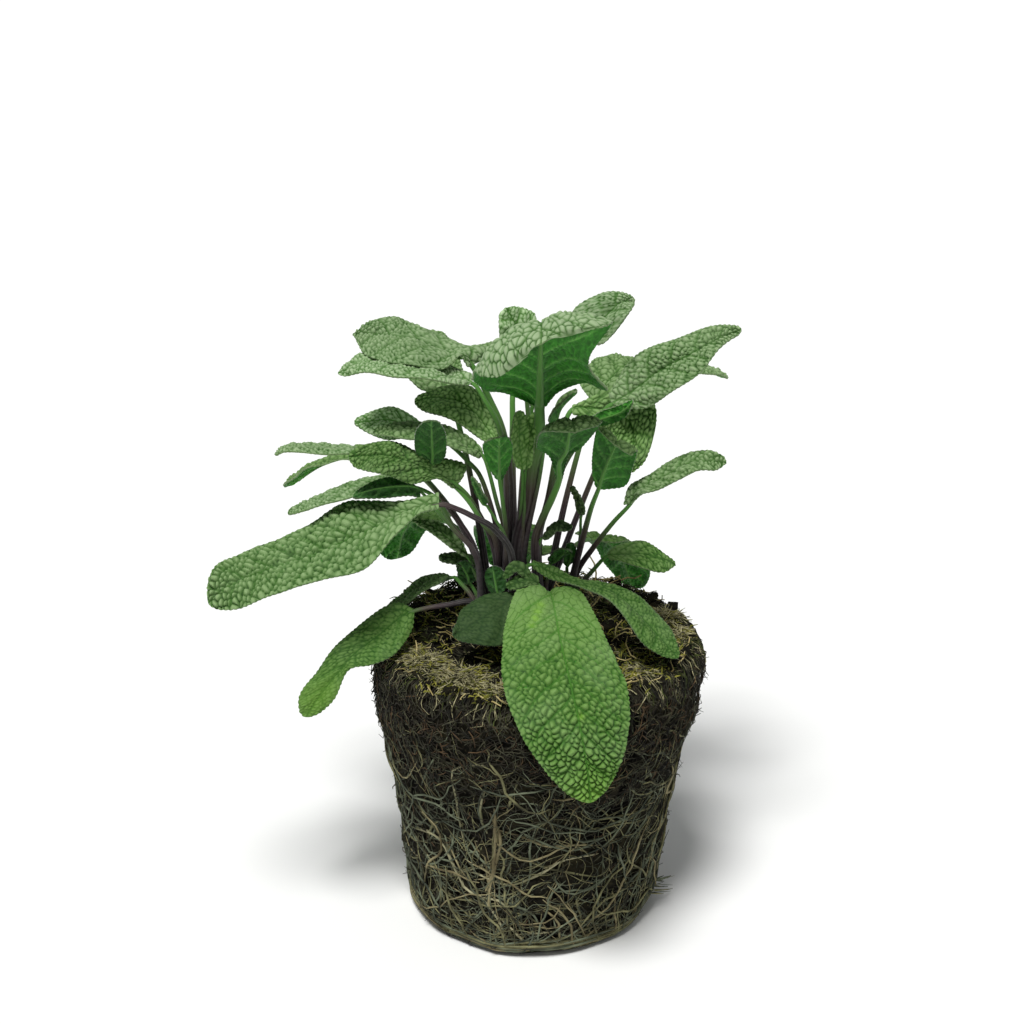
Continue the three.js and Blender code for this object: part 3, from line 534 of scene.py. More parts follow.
def bladeHalf(spec, path, start, u, v):
    if "rims" in spec:
        left, right = rimsAt(spec, u)
        middle = pathAt(path, runAt(spec, path, start, u))
        return np.linalg.norm(np.where((v < 0)[:, None], left, right) - middle, axis=1) * tipRound(u)
    u = np.clip(u, 0, 1)
    outline = np.maximum(0, 1 - np.abs(2 * u**spec["lean"] - 1)**spec["full"])**(1 / spec["full"])
    return spec["width"] / 2 * outline * (spec["wing"] + (1 - spec["wing"]) * smoothstep(0, spec["taper"], u))


def bladePoints(spec, path, start, u, v):
    # the blade's smooth upper face: u runs from base to tip, v from edge to edge
    place, _, side, normal = bladeFrame(spec, path, start, u)
    half = bladeHalf(spec, path, start, u, v)
    if "rims" in spec:
        left, right = rimsAt(spec, u)
        reach = (np.where((v < 0)[:, None], left, right) - place) * tipRound(u)[:, None]
        bulge = spec["puff"] * half * (np.abs(v) - v**2)
        return place + reach * np.abs(v)[:, None] + normal * bulge[:, None]
    fold = math.radians(spec["fold"])
    out = half * v * math.cos(fold)
    lift = half * (np.abs(v) * math.sin(fold) - spec["cup"] * v**2)
    return place + side * out[:, None] + normal * lift[:, None]


def drawnShare(row, column, seed):  # a fixed draw for each cell of a net
    return np.modf(np.abs(np.sin(row * 127.1 + column * 311.7 + seed * 74.7) * 43758.5453))[0]


def cellNet(along, across, pitch, flatter, groove, seed):
    # cells like cobbles in staggered rows: 0 in the grooves between them and 1 on top
    tall, jitter = pitch * flatter, blades["jitter"]
    row = np.floor(along / tall)
    nearest, second = np.full(along.shape, 9e9), np.full(along.shape, 9e9)
    for rowStep in (-1, 0, 1):
        r = row + rowStep
        stagger = 0.5 * np.mod(r, 2)
        column = np.floor(across / pitch - stagger)
        for columnStep in (-1, 0, 1):
            c = column + columnStep
            cellAcross = (c + stagger + 0.5 + jitter * (drawnShare(r, c, seed) - 0.5)) * pitch
            cellAlong = (r + 0.5 + jitter * (drawnShare(r, c, seed + 1) - 0.5)) * tall
            gap = np.hypot(along - cellAlong, across - cellAcross)
            second = np.minimum(second, np.maximum(nearest, gap))
            nearest = np.minimum(nearest, gap)
    rise = np.clip((second - nearest) / (groove * pitch), 0, 1)
    dome = np.clip((second - nearest) / pitch, 0, 1)
    return rise * (2 - rise), dome * (2 - dome)


def veinNet(along, across, half, length, spec, seed):
    # how high each point stands on its pebble, and how near it is to the veins above and below
    every = veins["every"] * (veins["narrowShare"] if spec["width"] < veins["narrow"] else 1)
    leaning = along - veins["lean"] * np.abs(across) + 0.5 * np.sin(0.45 * across + seed)
    pitch = spec["pebble"]
    wobble = blades["wobble"] * pitch * np.sin(2.6 * across / pitch + seed + 1.1 * along / pitch)
    smaller = np.clip(along / length, 0, 1)  # the pebbles get smaller towards the tip
    row = along * (0.85 + 0.2 * smaller) - 0.25 * np.abs(across)
    column = across * (0.85 + 0.3 * smaller) + 50 * (across < 0)
    boldShare = spec["calm"] + (1 - spec["calm"]) * smoothstep(0.08, 0.5, along / length)
    groove = blades["groove"] * (0.25 + 0.75 * boldShare)
    cells, domes = cellNet(row + wobble, column + wobble, pitch, spec["flatter"], groove, seed)
    # mm from the nearest side vein, square to its slant
    fromLateral = np.abs(np.mod(leaning + 0.2 * every * np.sign(across), every) - every / 2) * 0.73
    inside = np.clip(1 - np.abs(across) / np.maximum(half, 0.1), 0, 1)
    reach = smoothstep(0.02, 0.3, inside)
    lateral = np.exp(-(fromLateral / veins["width"])**2) * reach
    midrib = np.exp(-(across / veins["midribWidth"])**2)
    free = (1 - 0.75 * lateral) * (1 - 0.9 * midrib)
    domeShare = 0.6 * boldShare
    # raised also picks the leaf's colour, so its dome shape paints light on the pebble tops and shade in the
    # grooves
    raised = 1 - (1 - ((1 - domeShare) * cells + domeShare * domes) * free) * (0.62 + 0.38 * boldShare)
    height = (0.3 * cells + 0.7 * domes) * free * boldShare
    between = np.clip(fromLateral / (0.36 * every), 0, 1) * (1 - np.exp(-(across / 1.8)**2)) * reach
    ribWidth = (veins["ribBelow"] + veins["ribWiden"] * spec["width"]) * (1 - 0.5 * smaller)
    sideBelow = veins["shareBelow"] * np.exp(-(fromLateral / veins["widthBelow"])**2) * reach
    below = np.maximum(np.exp(-(across / ribWidth)**2), sideBelow)
    bright = spec["rib"] * np.maximum(midrib, veins["sideShare"] * lateral)
    return raised, height - 0.5 * boldShare, bright, below, between


def marginShift(spec, path, start, u, v):
    # rounded teeth, measured along the edge and pointing out of it
    edge = np.sign(v) + (v == 0)
    shares = np.linspace(0, 1, 400)
    shift = np.zeros((len(u), 3))
    for hand in (-1, 1):
        line = bladePoints(spec, path, start, shares, np.full(len(shares), float(hand)))
        runs = np.concatenate([[0], np.cumsum(np.linalg.norm(np.diff(line, axis=0), axis=1))])
        mine = edge == hand
        run = np.interp(u[mine], shares, runs)
        ahead, behind = (np.stack([np.interp(run + off, runs, line[:, i]) for i in range(3)], -1)
                         for off in (0.5, -0.5))
        tangent = unit(ahead - behind)
        normal = bladeFrame(spec, path, start, u[mine])[3]
        outward = unit(np.cross(tangent, normal)) * hand
        tooth = np.abs(np.sin(math.pi * run / blades["toothPitch"])) - 0.75
        reach = blades["toothDepth"] * tooth * np.abs(v[mine])**9
        shift[mine] = outward * reach[:, None]
    return shift


def bladeSheet(spec, path, start, seed, u, v):
    # smooth places and normals, the heights of the two faces over them, and the marks for the looks
    length = path["length"] - start
    near, step = np.clip(u, 0.03, 0.97), 0.02
    alongSlope = (bladePoints(spec, path, start, near + step, v)
                  - bladePoints(spec, path, start, near - step, v))
    half = bladeHalf(spec, path, start, u, v)
    # a wide step across, so that the normal turns gently over the fold
    wide = np.clip(blades["foldSoft"] / np.maximum(half, 0.1), step, 0.5)
    acrossSlope = (bladePoints(spec, path, start, near, np.minimum(v + wide, 1))
                   - bladePoints(spec, path, start, near, np.maximum(v - wide, -1)))
    normal = unit(np.cross(acrossSlope, alongSlope))
    along = runAt(spec, path, start, u) - start
    across = v * half
    raised, bulge, vein, below, between = veinNet(along, across, half, length, spec, seed)
    fade = smoothstep(0, 0.04, u) * smoothstep(0, 0.04, 1 - u)
    wave = spec["ruffle"] * v**4 * np.sin(2 * math.pi * along / blades["ruffleLength"] + seed + v) * fade
    quilt = wave + blades["quilt"] * between * fade * min(1, spec["width"] / 20)
    bold = blades["boldness"] * spec["relief"] * (0.85 + 0.25 * u) * fade
    pebbles = bold * bulge * (1 - 0.8 * np.abs(v)**8)
    ribs = (veins["midribHeight"] * np.exp(-(across / 0.8)**2) * (1 - 0.8 * u)
            + veins["sideHeight"] * below * (np.abs(across) > 0.8) + 0.1 * (1 - raised))
    sink = blades["thickness"] + ribs * fade * (1 - np.abs(v)**6)
    # painted light shining through thin places, as spots of glow colour
    glow = sum(share * np.exp(-((along - a)**2 + (across - c)**2) / reach**2)
               for a, c, reach, share in spec.get("glow", [])) + 0 * u
    marks = {"raised": raised, "vein": vein, "ribBelow": below, "fresh": spec["fresh"], "pale": spec["pale"],
             "shade": spec["shade"], "light": spec["light"], "glow": glow,
             "onBlade": np.stack([across, along, 0 * u], -1)}
    place = bladePoints(spec, path, start, u, v) + marginShift(spec, path, start, u, v)
    return place, normal, quilt + pebbles, quilt + blades["hollow"] * pebbles - sink, marks


def growBlade(spec, path, start, seed):
    # a fine upper sheet whose border turns down over the edge, and a plainer lower one that closes it
    length = path["length"] - start
    grain = blades["bigGrain"] if spec["width"] > blades["bigWidth"] else blades["grain"]
    across = 2 * max(3, round(spec["width"] / grain / 2))
    rows = max(10, round(1.1 * length / grain))
    rim = blades["rimSteps"]

    def spread(share):  # rows stand closer at both ends
        gap, crowding = blades["endGap"], blades["crowding"]
        eased = (1 - crowding) * share + crowding * (1 - np.cos(math.pi * share)) / 2
        return gap + (1 - 2 * gap) * eased

    def upperRule(shareAcross, shareAlong):
        column = shareAcross * (across + 2 * rim) - rim
        row = shareAlong * (rows + 2 * rim) - rim
        over = np.maximum(np.maximum(-column, column - across), np.maximum(-row, row - rows))
        over = np.round(np.maximum(over, 0)) / rim
        u, v = spread(np.clip(row / rows, 0, 1)), np.clip(2 * column / across - 1, -1, 1)
        place, normal, lift, bottom, marks = bladeSheet(spec, path, start, seed, u, v)
        height = lift + (bottom - lift) * over
        return place + normal * height[:, None], {**marks, "edge": over}

    def lowerRule(shareAcross, shareAlong):
        place, normal, _, bottom, marks = bladeSheet(spec, path, start, seed, spread(shareAlong),
                                                     1 - 2 * shareAcross)
        return place + normal * bottom[:, None], {**marks, "edge": 0.0}

    upper = layGrid(across + 2 * rim, rows + 2 * rim, upperRule)
    upper.data.materials.append(leafTop)
    upper.data.materials.append(leafRim)
    edge = np.empty(len(upper.data.vertices))
    upper.data.attributes["edge"].data.foreach_get("value", edge)
    corners = np.empty(len(upper.data.loops), dtype=np.int32)
    upper.data.loops.foreach_get("vertex_index", corners)
    onRim = edge[corners].reshape(-1, 4).max(axis=1) > 0
    upper.data.polygons.foreach_set("material_index", onRim.astype(np.int32))
    coarse = grain / blades["lowerGrain"]
    lower = layGrid(max(6, round(across * coarse)), max(10, round(rows * coarse)), lowerRule)
    lower.data.materials.append(leafUnder)
    return [upper, lower]


def growStalk(spec, path, start):
    # one tube from the crown to the leaf, which runs on under the blade as its midrib
    radius = spec["stout"] * (stalks["thin"] + stalks["widen"] * spec["width"])
    thick, thin = stalks["baseShare"] * radius, stalks["bladeShare"] * radius
    last = start + stalks["underBlade"] * (path["length"] - start)
    rows = max(8, round(last / stalks["step"]))
    sides = stalks["sides"] if spec["width"] > stalks["slim"] else stalks["slimSides"]
    runs = np.linspace(0, last, rows + 1)
    centres = pathAt(path, runs)
    ahead = pathAhead(path, runs)
    shares = (runs - start) / (path["length"] - start)
    normals = bladeFrame(spec, path, start, np.maximum(shareAt(spec, path, start, runs), 0.03))[3]
    first = int(np.argmax(shares >= 0))
    for row in range(first - 1, -1, -1):  # carried down the stalk without a twist
        carried = normals[row + 1] - ahead[row] * np.dot(normals[row + 1], ahead[row])
        normals[row] = carried / np.linalg.norm(carried)
    sideways = np.cross(ahead, normals)
    radii = np.where(shares < 0, np.interp(runs, [0, start], [thick, thin]),
                     thin + (stalks["tipRadius"] - thin) * np.clip(shares, 0, 1)**0.7)
    sunk = 0.7 * blades["boldness"] * spec["relief"] + stalks["sunk"]  # below the lowest grooves
    below = smoothstep(-0.05, 0.12, shares) * (radii + sunk)
    centres = centres - normals * below[:, None]

    def rule(shareAround, shareAlong):
        row = np.clip(np.round(shareAlong * rows).astype(int), 0, rows)
        angle = 2 * math.pi * shareAround
        rib = np.cos(stalks["ribs"] * angle)
        section = 1 + stalks["ribHeight"] * rib + stalks["square"] * np.cos(4 * angle)
        fromTop = np.mod(angle + math.pi, 2 * math.pi) - math.pi
        section -= stalks["channel"] * np.exp(-(fromTop / stalks["channelWidth"])**2)
        size = radii[row] * section * ((row > 0) & (row < rows))
        place = (centres[row] + normals[row] * (size * np.cos(angle))[:, None]
                 + sideways[row] * (size * np.sin(angle))[:, None])
        green = smoothstep(spec["purple"] - 0.35, spec["purple"] + 0.45, runs[row] / start)
        return place, {"green": green, "rib": 0.5 + 0.5 * rib}

    stalk = layGrid(sides, rows, rule)
    weld(stalk)
    stalk.data.materials.append(stalkSkin)
    return stalk


def growShoot(shoot):
    x, y = shoot["foot"]
    foot = [x, y, float(soilHeight(x, y)) + crown["stalkLift"]]
    grown = [growFoot(x, y)]
    for number, spec in enumerate(shoot["leaves"]):
        path = smoothPath([foot] + spec["stalk"] + spec["blade"])
        start = path["knotRuns"][len(spec["stalk"]) + 1]
        seed = number + 10 * len(shoot["node"]) + x
        grown += growBlade(spec, path, start, seed)
        grown.append(growStalk(spec, path, start))
    piece = joinAs(shoot["node"] + "_grown", grown)
    finishPiece(piece, shoot["node"])


sheaths = {"depth": 5, "height": 8, "radius": 2.1, "narrowing": 0.35, "ribs": 5, "ribHeight": 0.08,
           "twist": 4, "sides": 15, "rows": 14}


def growFoot(x, y):
    # the sheath at the crown, from which a shoot's stalks come, standing in its hole in the peat
    low, high = soilHeight(x, y) - sheaths["depth"], soilHeight(x, y) + sheaths["height"]
    rows = sheaths["rows"]

    def rule(shareAround, shareAlong):
        angle = 2 * math.pi * shareAround
        row = np.round(shareAlong * rows)
        ribbed = 1 + sheaths["ribHeight"] * np.cos(sheaths["ribs"] * angle + sheaths["twist"] * shareAlong)
        size = sheaths["radius"] * (1 - sheaths["narrowing"] * shareAlong) * ribbed
        size = size * (row > 0) * (row < rows)
        place = np.stack([x + size * np.cos(angle), y + size * np.sin(angle),
                          low + (high - low) * shareAlong], -1)
        return place, {"green": 0.0, "rib": 0.5 + 0.5 * np.cos(sheaths["ribs"] * angle)}

    sheath = layGrid(sheaths["sides"], rows, rule)
    weld(sheath)
    sheath.data.materials.append(stalkSkin)
    return sheath


# The shoots, with all places in mm. A laid leaf has its stalk and its rows, a plain one its stalk, the midrib
# of its blade and its width. A painted glow is painted light shining through a thin place: mm along the leaf,
# mm across it, reach and share.
centreShoot = {
    "node": "centre_shoot", "foot": (-4, 9),
    "leaves": [
        laidLeaf([[-4, 6, 121], [-1, 5, 135], [0, 3, 147], [2, 1, 158]], [
            [[4, -2, 170], [2, -2, 170], [1, -2, 170]],
            [[8, -5, 176], [2, -5, 174], [-8, -4, 175]],
            [[16, -8, 180], [2, -11, 181], [-14, -9, 178]],
            [[22, -14, 180], [2, -19, 191], [-18, -16, 184]],
            [[16, -23, 192], [2, -26, 200], [-18, -21, 186]],
            [[22, -31, 206], [2, -33, 208], [-17, -28, 191]],
            [[21, -38, 209], [2, -41, 208], [-15, -35, 192]],
            [[17, -43, 209], [2, -46, 206], [-8, -41, 194]],
        ], puff=0.5, pebble=2.2, relief=0.34, pale=0.9, flatter=1.45, stout=1.3),
        laidLeaf([[-4, 9, 121], [-1, 12, 150], [-2, 11, 172]], [
            [[-4, 8, 184], [-2, 9, 185], [0, 10, 186]],
            [[-9, 6, 187], [-4, 9, 190], [1, 13, 193]],
            [[-10, 5, 192], [-6, 8, 194], [-2, 12, 196]],
            [[-10, 6, 197], [-8, 7, 198], [-6, 9, 198]],
        ], pebble=1.8, relief=0.06, pale=1, calm=0.4, light=1.55),
        laidLeaf([[-2, 10, 121], [2, 14, 149], [4, 15, 168], [10, 15, 179]], [
            [[15, 14, 184], [16, 13, 184], [18, 12, 184]],
            [[12, 17, 193], [18, 14, 188], [22, 10, 186]],
            [[20, 17, 199], [25, 14, 196], [28, 8, 195]],
            [[26, 16, 200], [28, 13, 198], [30, 9, 198]],
            [[30, 12, 200], [30, 11, 200], [30, 10, 200]],
        ], pebble=1.4, pale=1, relief=0.22),
        leaf([[-2, 4, 122], [2, 3, 144], [4, 2, 158]],
             [[6, 1, 163], [8, 0, 169], [13, -2, 175]], 8, face=[-0.8, 0.2, 0.6], fold=25, relief=0.2,
             shade=0.3),
        leaf([[-4, 6, 122], [-3, 4, 140]],
             [[-3, 3, 147], [-4, 1, 158], [-4, -1, 168]], 7,
             face=[0.3, -0.6, 0.3], fold=18, relief=0.14, fresh=0.6, light=1.4),
        leaf([[-3, 4, 123], [-2, 4, 140]],
             [[-2, 3, 147], [-1, 2, 158], [1, 0, 167]], 6,
             face=[-0.5, -0.6, 0.3], fold=18, relief=0.14, fresh=0.6, light=1.4),
    ],
}

upperLeftShoot = {
    "node": "upper_left_shoot", "foot": (-10, 11),
    "leaves": [
        laidLeaf([[-7, 8, 126], [-7, 8, 144], [-9, 8, 158], [-13, 9, 168]], [
            [[-19, 4, 180], [-18, 6, 180], [-16, 9, 180]],
            [[-22, 3, 184], [-20, 6, 184], [-12, 14, 182]],
            [[-27, -1, 181.5], [-25, 7, 184], [-21, 14, 184]],
            [[-37, -5, 184.5], [-36, 8, 188], [-35, 17, 189]],
            [[-44, -5, 185.5], [-44, 8, 189], [-42, 16, 192]],
            [[-50, -2, 186.5], [-50, 7, 190], [-49, 12, 192]],
            [[-53, 4, 189], [-54, 6, 190], [-53, 8, 190]],
        ], pebble=1.7, relief=0.46, pale=0.7, stout=1.2, light=0.95),
        laidLeaf([[-8, 6, 127], [-8, 4, 146], [-10, 2, 161], [-14, 1, 170]], [
            [[-19, 0, 176], [-18, 2, 176], [-18, 4, 178]],
            [[-24, -4, 178], [-24, 1, 178], [-22, 6, 179]],
            [[-30, -8, 181], [-30, 0, 181], [-29, 8, 181]],
            [[-41, -11, 183], [-41, -2, 184], [-40, 8, 184]],
            [[-50, -10, 184], [-50, -4, 185], [-50, 4, 185]],
            [[-57, -7, 181], [-58, -6, 182], [-57, -4, 183]],
        ], pebble=1.6, relief=0.34, pale=0.95, light=1.12),
        laidLeaf([[-8, 9, 122], [-9, 9, 140]], [
            [[-11, 8, 152], [-10, 9, 152], [-10, 10, 154]],
            [[-16, 7, 156], [-14, 11, 158], [-10, 14, 158]],
            [[-22, 6, 161], [-18, 12, 163], [-14, 16, 164]],
            [[-28, 6, 164], [-23, 13, 166], [-19, 18, 169]],
            [[-33, 9, 164], [-31, 13, 167], [-28, 17, 169]],
            [[-36, 12, 165], [-36, 12, 166], [-36, 14, 167]],
        ], pebble=1.8, relief=0.28, light=1.7),
    ],
}

middleLeftShoot = {
    "node": "middle_left_shoot", "foot": (-9.5, 5),
    "leaves": [
        laidLeaf([[-11, 1, 123], [-15, -1, 131], [-19, -1, 138]], [
            [[-24, -2, 143], [-23, -1, 143], [-22, 0, 145]],
            [[-29, -6, 148], [-26, -3, 147], [-20, 2, 149]],
            [[-36, -10, 148], [-32, -5, 151], [-26, 1, 152]],
            [[-42, -14, 152], [-38, -8, 155], [-34, -2, 155]],
            [[-48, -17, 155], [-45, -11, 158], [-42, -5, 160]],
            [[-54, -16, 156], [-55, -15, 159], [-54, -12, 161]],
        ], pebble=1.9, fresh=0.4, shade=0.12),
        laidLeaf([[-12, 2, 122], [-19, 0, 139], [-26, -2, 147]], [
            [[-28, -3, 152], [-30, -3, 152], [-31, -3, 152]],
            [[-26, -5, 156], [-30, -5, 156], [-35, -5, 156]],
            [[-26, -10, 165], [-30, -10, 164], [-35, -10, 165]],
            [[-28, -13, 170], [-30, -13, 170], [-32, -13, 170]],
        ], fresh=0.3, shade=0.55),
        laidLeaf([[-10, 3, 122], [-15, 3, 143], [-20, 4, 150], [-26, 6, 155]], [
            [[-33, 6, 156], [-32, 7, 158], [-32, 8, 158]],
            [[-39, 2, 158], [-38, 7, 160], [-36, 12, 161]],
            [[-44, 1, 158], [-43, 7, 162], [-42, 13, 164]],
            [[-50, 2, 160], [-49, 6, 162], [-48, 10, 164]],
            [[-54, 4, 162], [-54, 5, 162], [-54, 6, 163]],
        ], pebble=1.8, relief=0.22, pale=1, light=1.9),
        laidLeaf([[-8, 2, 123], [-11, 1, 138]], [
            [[-16, 0, 152], [-15, 1, 153], [-15, 2, 154]],
            [[-20, -4, 156], [-20, 1, 156], [-19, 6, 157]],
            [[-28, -6, 160], [-28, 0, 161], [-28, 6, 161]],
            [[-40, -7, 162], [-40, -1, 162], [-40, 5, 162]],
            [[-48, -4, 162], [-48, -3, 162], [-48, -2, 163]],
        ], relief=0.4, pale=0.2, light=0.92),
        laidLeaf([[-8, 1, 123], [-9, -3, 139]], [
            [[-9, -6, 148], [-10, -6, 148], [-11, -6, 148]],
            [[-7, -7, 153], [-10, -7, 152], [-13, -7, 152]],
            [[-6, -11, 161], [-10, -11, 160], [-15, -11, 161]],
            [[-8, -14, 166], [-10, -14, 165], [-12, -14, 165]],
        ], fresh=0.3, shade=0.25),
        leaf([[-8, 0, 124], [-11, -1, 132]],
             [[-14, -2, 138], [-16, -3, 143], [-18, -4, 148]], 5, face=[0.6, 0.5, 0.5], shade=0.5),
    ],
}

longLeftShoot = {
    "node": "long_left_shoot", "foot": (-7, -3),
    "leaves": [
        laidLeaf([[-6, -4, 120], [-11, -6, 131], [-18, -9, 137], [-23, -10, 140]], [
            [[-28, -12, 141], [-28, -11, 142], [-28, -9, 145]],
            [[-34, -16, 141], [-36, -12, 141], [-38, -8, 142]],
            [[-41, -20, 136], [-44, -13, 137], [-48, -4, 140]],
            [[-50, -27, 128], [-53, -16, 134], [-57, -5, 140]],
            [[-64, -29, 125], [-66, -19, 129], [-70, -9, 133]],
            [[-78, -31, 121], [-81, -22, 125], [-85, -13, 128]],
            [[-88, -32, 117], [-92, -26, 121], [-95, -18, 125]],
            [[-96, -30, 116], [-97, -28, 117], [-98, -24, 120]],
        ], pebble=2.5, fresh=0.35, pale=0.3, relief=0.72, flatter=0.74, calm=0.6, purple=0.95),
        leaf([[-8, -3, 104]],
             [[-10, -3, 108], [-11, -2, 112], [-12, -1, 117]], 7, face=[0, 0.7, 0.7], shade=0.7),
    ],
}

lowerLeftShoot = {
    "node": "lower_left_shoot", "foot": (-15.5, 3),
    "leaves": [
        laidLeaf([[-17, 3, 119], [-25, 5, 133], [-33, 6, 143], [-42, 5, 150]], [
            [[-49, 1, 152], [-50, 4, 152], [-49, 7, 152]],
            [[-55, -3, 155], [-55, 3, 154], [-55, 9, 152]],
            [[-65, -5, 156], [-65, 2, 155], [-65, 9, 153]],
            [[-74, -3, 156], [-74, 0, 156], [-74, 4, 155]],
            [[-78, -2, 154], [-78, -1, 154], [-78, 0, 154]],
        ], pebble=1.6, relief=0.34, pale=0.8),
        laidLeaf([[-17, 2, 118], [-24, 1, 129], [-29, 0, 139]], [
            [[-35, -3, 144], [-36, -2, 144], [-36, 0, 144]],
            [[-41, -8, 146], [-42, -3, 146], [-43, 2, 146]],
            [[-52, -11, 145], [-53, -5, 145], [-54, 2, 144]],
            [[-64, -12, 142], [-65, -7, 141], [-66, -1, 140]],
            [[-74, -10, 138], [-74, -9, 138], [-74, -8, 139]],
        ], pebble=1.6, relief=0.36, pale=0.7),
        laidLeaf([[-17, 1, 118], [-24, -1, 129], [-30, -4, 138]], [
            [[-34, -5, 144], [-34, -6, 144], [-34, -7, 142]],
            [[-40, -5, 148], [-39, -8, 146], [-38, -10, 144]],
            [[-47, -7, 148], [-47, -10, 146], [-47, -12, 144]],
            [[-54, -10, 145], [-54, -11, 144], [-54, -12, 144]],
        ], shade=0.6),
        laidLeaf([[-16, 3, 107], [-18, 4, 113]], [
            [[-21, 3, 118], [-20, 4, 118], [-20, 5, 119]],
            [[-25, 2, 122], [-24, 4, 122], [-22, 6, 123]],
            [[-32, 3, 127], [-30, 5, 127], [-28, 7, 128]],
            [[-37, 5, 129], [-37, 5, 130], [-36, 6, 130]],
        ], pale=0.3),
        leaf([[-17, 4, 104]],
             [[-19, 5, 108], [-20, 5, 112], [-22, 5, 116]], 7, face=[0, 0.7, 0.7], shade=0.7),
        leaf([[-16, 6, 108]],
             [[-17, 7, 113], [-22, 8, 115], [-29, 8, 116]], 7, face=[0, -0.2, 1], shade=0.6),
    ],
}

trailingLeftLeaves = {
    "node": "trailing_left_leaves", "foot": (-16, -4),
    "leaves": [
        laidLeaf([[-18, -5, 106], [-26, -8, 107]], [
            [[-36, -11, 105], [-36, -10, 106], [-36, -9, 106]],
            [[-37, -15, 101], [-40, -12, 105], [-42, -8, 108]],
            [[-42, -20, 96], [-47, -15, 100], [-51, -10, 103]],
            [[-49, -23, 94], [-54, -19, 96], [-60, -16, 97]],
            [[-56, -23, 92], [-59, -22, 91], [-66, -20, 90]],
            [[-60, -26, 84], [-65, -25, 84], [-71, -24, 84]],
            [[-66, -27, 78], [-69, -27, 78], [-71, -26, 78]],
        ], pebble=1.7, relief=0.16, fresh=1, shade=0.22, glow=[(41, 0, 9, 0.35)], purple=0.8),
        leaf([[-18, -3, 106], [-22, 1, 110]],
             [[-25, 4, 111], [-32, 3, 110], [-39, 0, 106], [-45, -2, 102]], 12,
             face=[-0.2, 0.15, 0.95], pebble=1.5, shade=0.4),
    ],
}

frontHangingLeaf = {
    "node": "front_hanging_leaf", "foot": (-1, -6),
    "leaves": [
        laidLeaf([[0, -6, 106], [3, -7, 110]], [
            [[7, -10, 114], [5, -10, 112], [3, -10, 114]],
            [[14, -11, 114], [6, -14, 112], [-4, -10, 114]],
            [[19, -22, 110], [7, -22, 110], [-8, -22, 109]],
            [[23, -32, 105], [8, -32, 108], [-9, -32, 106]],
            [[28, -47, 98], [11, -49, 101], [-9, -45, 99]],
            [[28, -56, 88], [14, -59, 90], [-4, -55, 88]],
            [[25, -60, 78], [16, -62, 78], [4, -60, 77]],
            [[20, -61, 69], [17, -62, 68], [13, -62, 68]],
        ], pebble=2.5, relief=0.7, flatter=0.68, fresh=0.9, calm=0.25, rib=0.7,
            glow=[(9, 4.2, 1.2, 0.5), (12, 5.4, 1.2, 0.55), (15, 6.4, 1.2, 0.6), (18, 7.6, 1.2, 0.55),
                  (52, -1, 1, 0.5), (78, 0, 9, 0.35)]),
        laidLeaf([[-3, -7, 104]], [
            [[-4, -10, 110], [-5, -9, 111], [-6, -8, 111]],
            [[-5, -20, 104], [-9, -13, 109], [-14, -9, 111]],
            [[-10, -26, 102], [-15, -19, 108], [-21, -14, 109]],
            [[-20, -26, 103], [-22, -23, 105], [-23, -20, 107]],
            [[-24, -25, 104], [-24, -25, 105], [-24, -24, 106]],
        ], pebble=1.7, relief=0.12, fresh=0.7, shade=0.8),
        leaf([[-1, -7, 108]],
             [[-1, -8, 116], [-5, -8, 120], [-9, -8, 116]], 4, face=[0, -0.5, 0.8], fresh=0.6, shade=0.5),
        leaf([[2, -7, 110]],
             [[2, -8, 114], [-2, -9, 116], [-8, -10, 114]], 5, face=[0, -0.6, 0.8], fresh=0.6, shade=0.45),
    ],
}

frontRightLeaf = {
    "node": "front_right_leaf", "foot": (-4, 2),
    "leaves": [
        laidLeaf([[-4, 0, 112]], [
            [[0, -1, 119], [0, -2, 118], [0, -3, 117]],
            [[7, -4, 118], [6, -6, 117], [5, -8, 116]],
            [[14, -8, 116], [12, -10, 116], [12, -12, 116]],
            [[26, -11, 115], [23, -14, 115], [20, -17, 115]],
            [[34, -13, 111], [30, -18, 111], [26, -23, 113]],
            [[42, -19, 104], [38, -23, 104], [33, -28, 104]],
            [[45, -26, 99], [44, -27, 98], [41, -28, 98]],
        ], pebble=1.5, relief=0.2, fresh=0.8, shade=0.25),
    ],
}

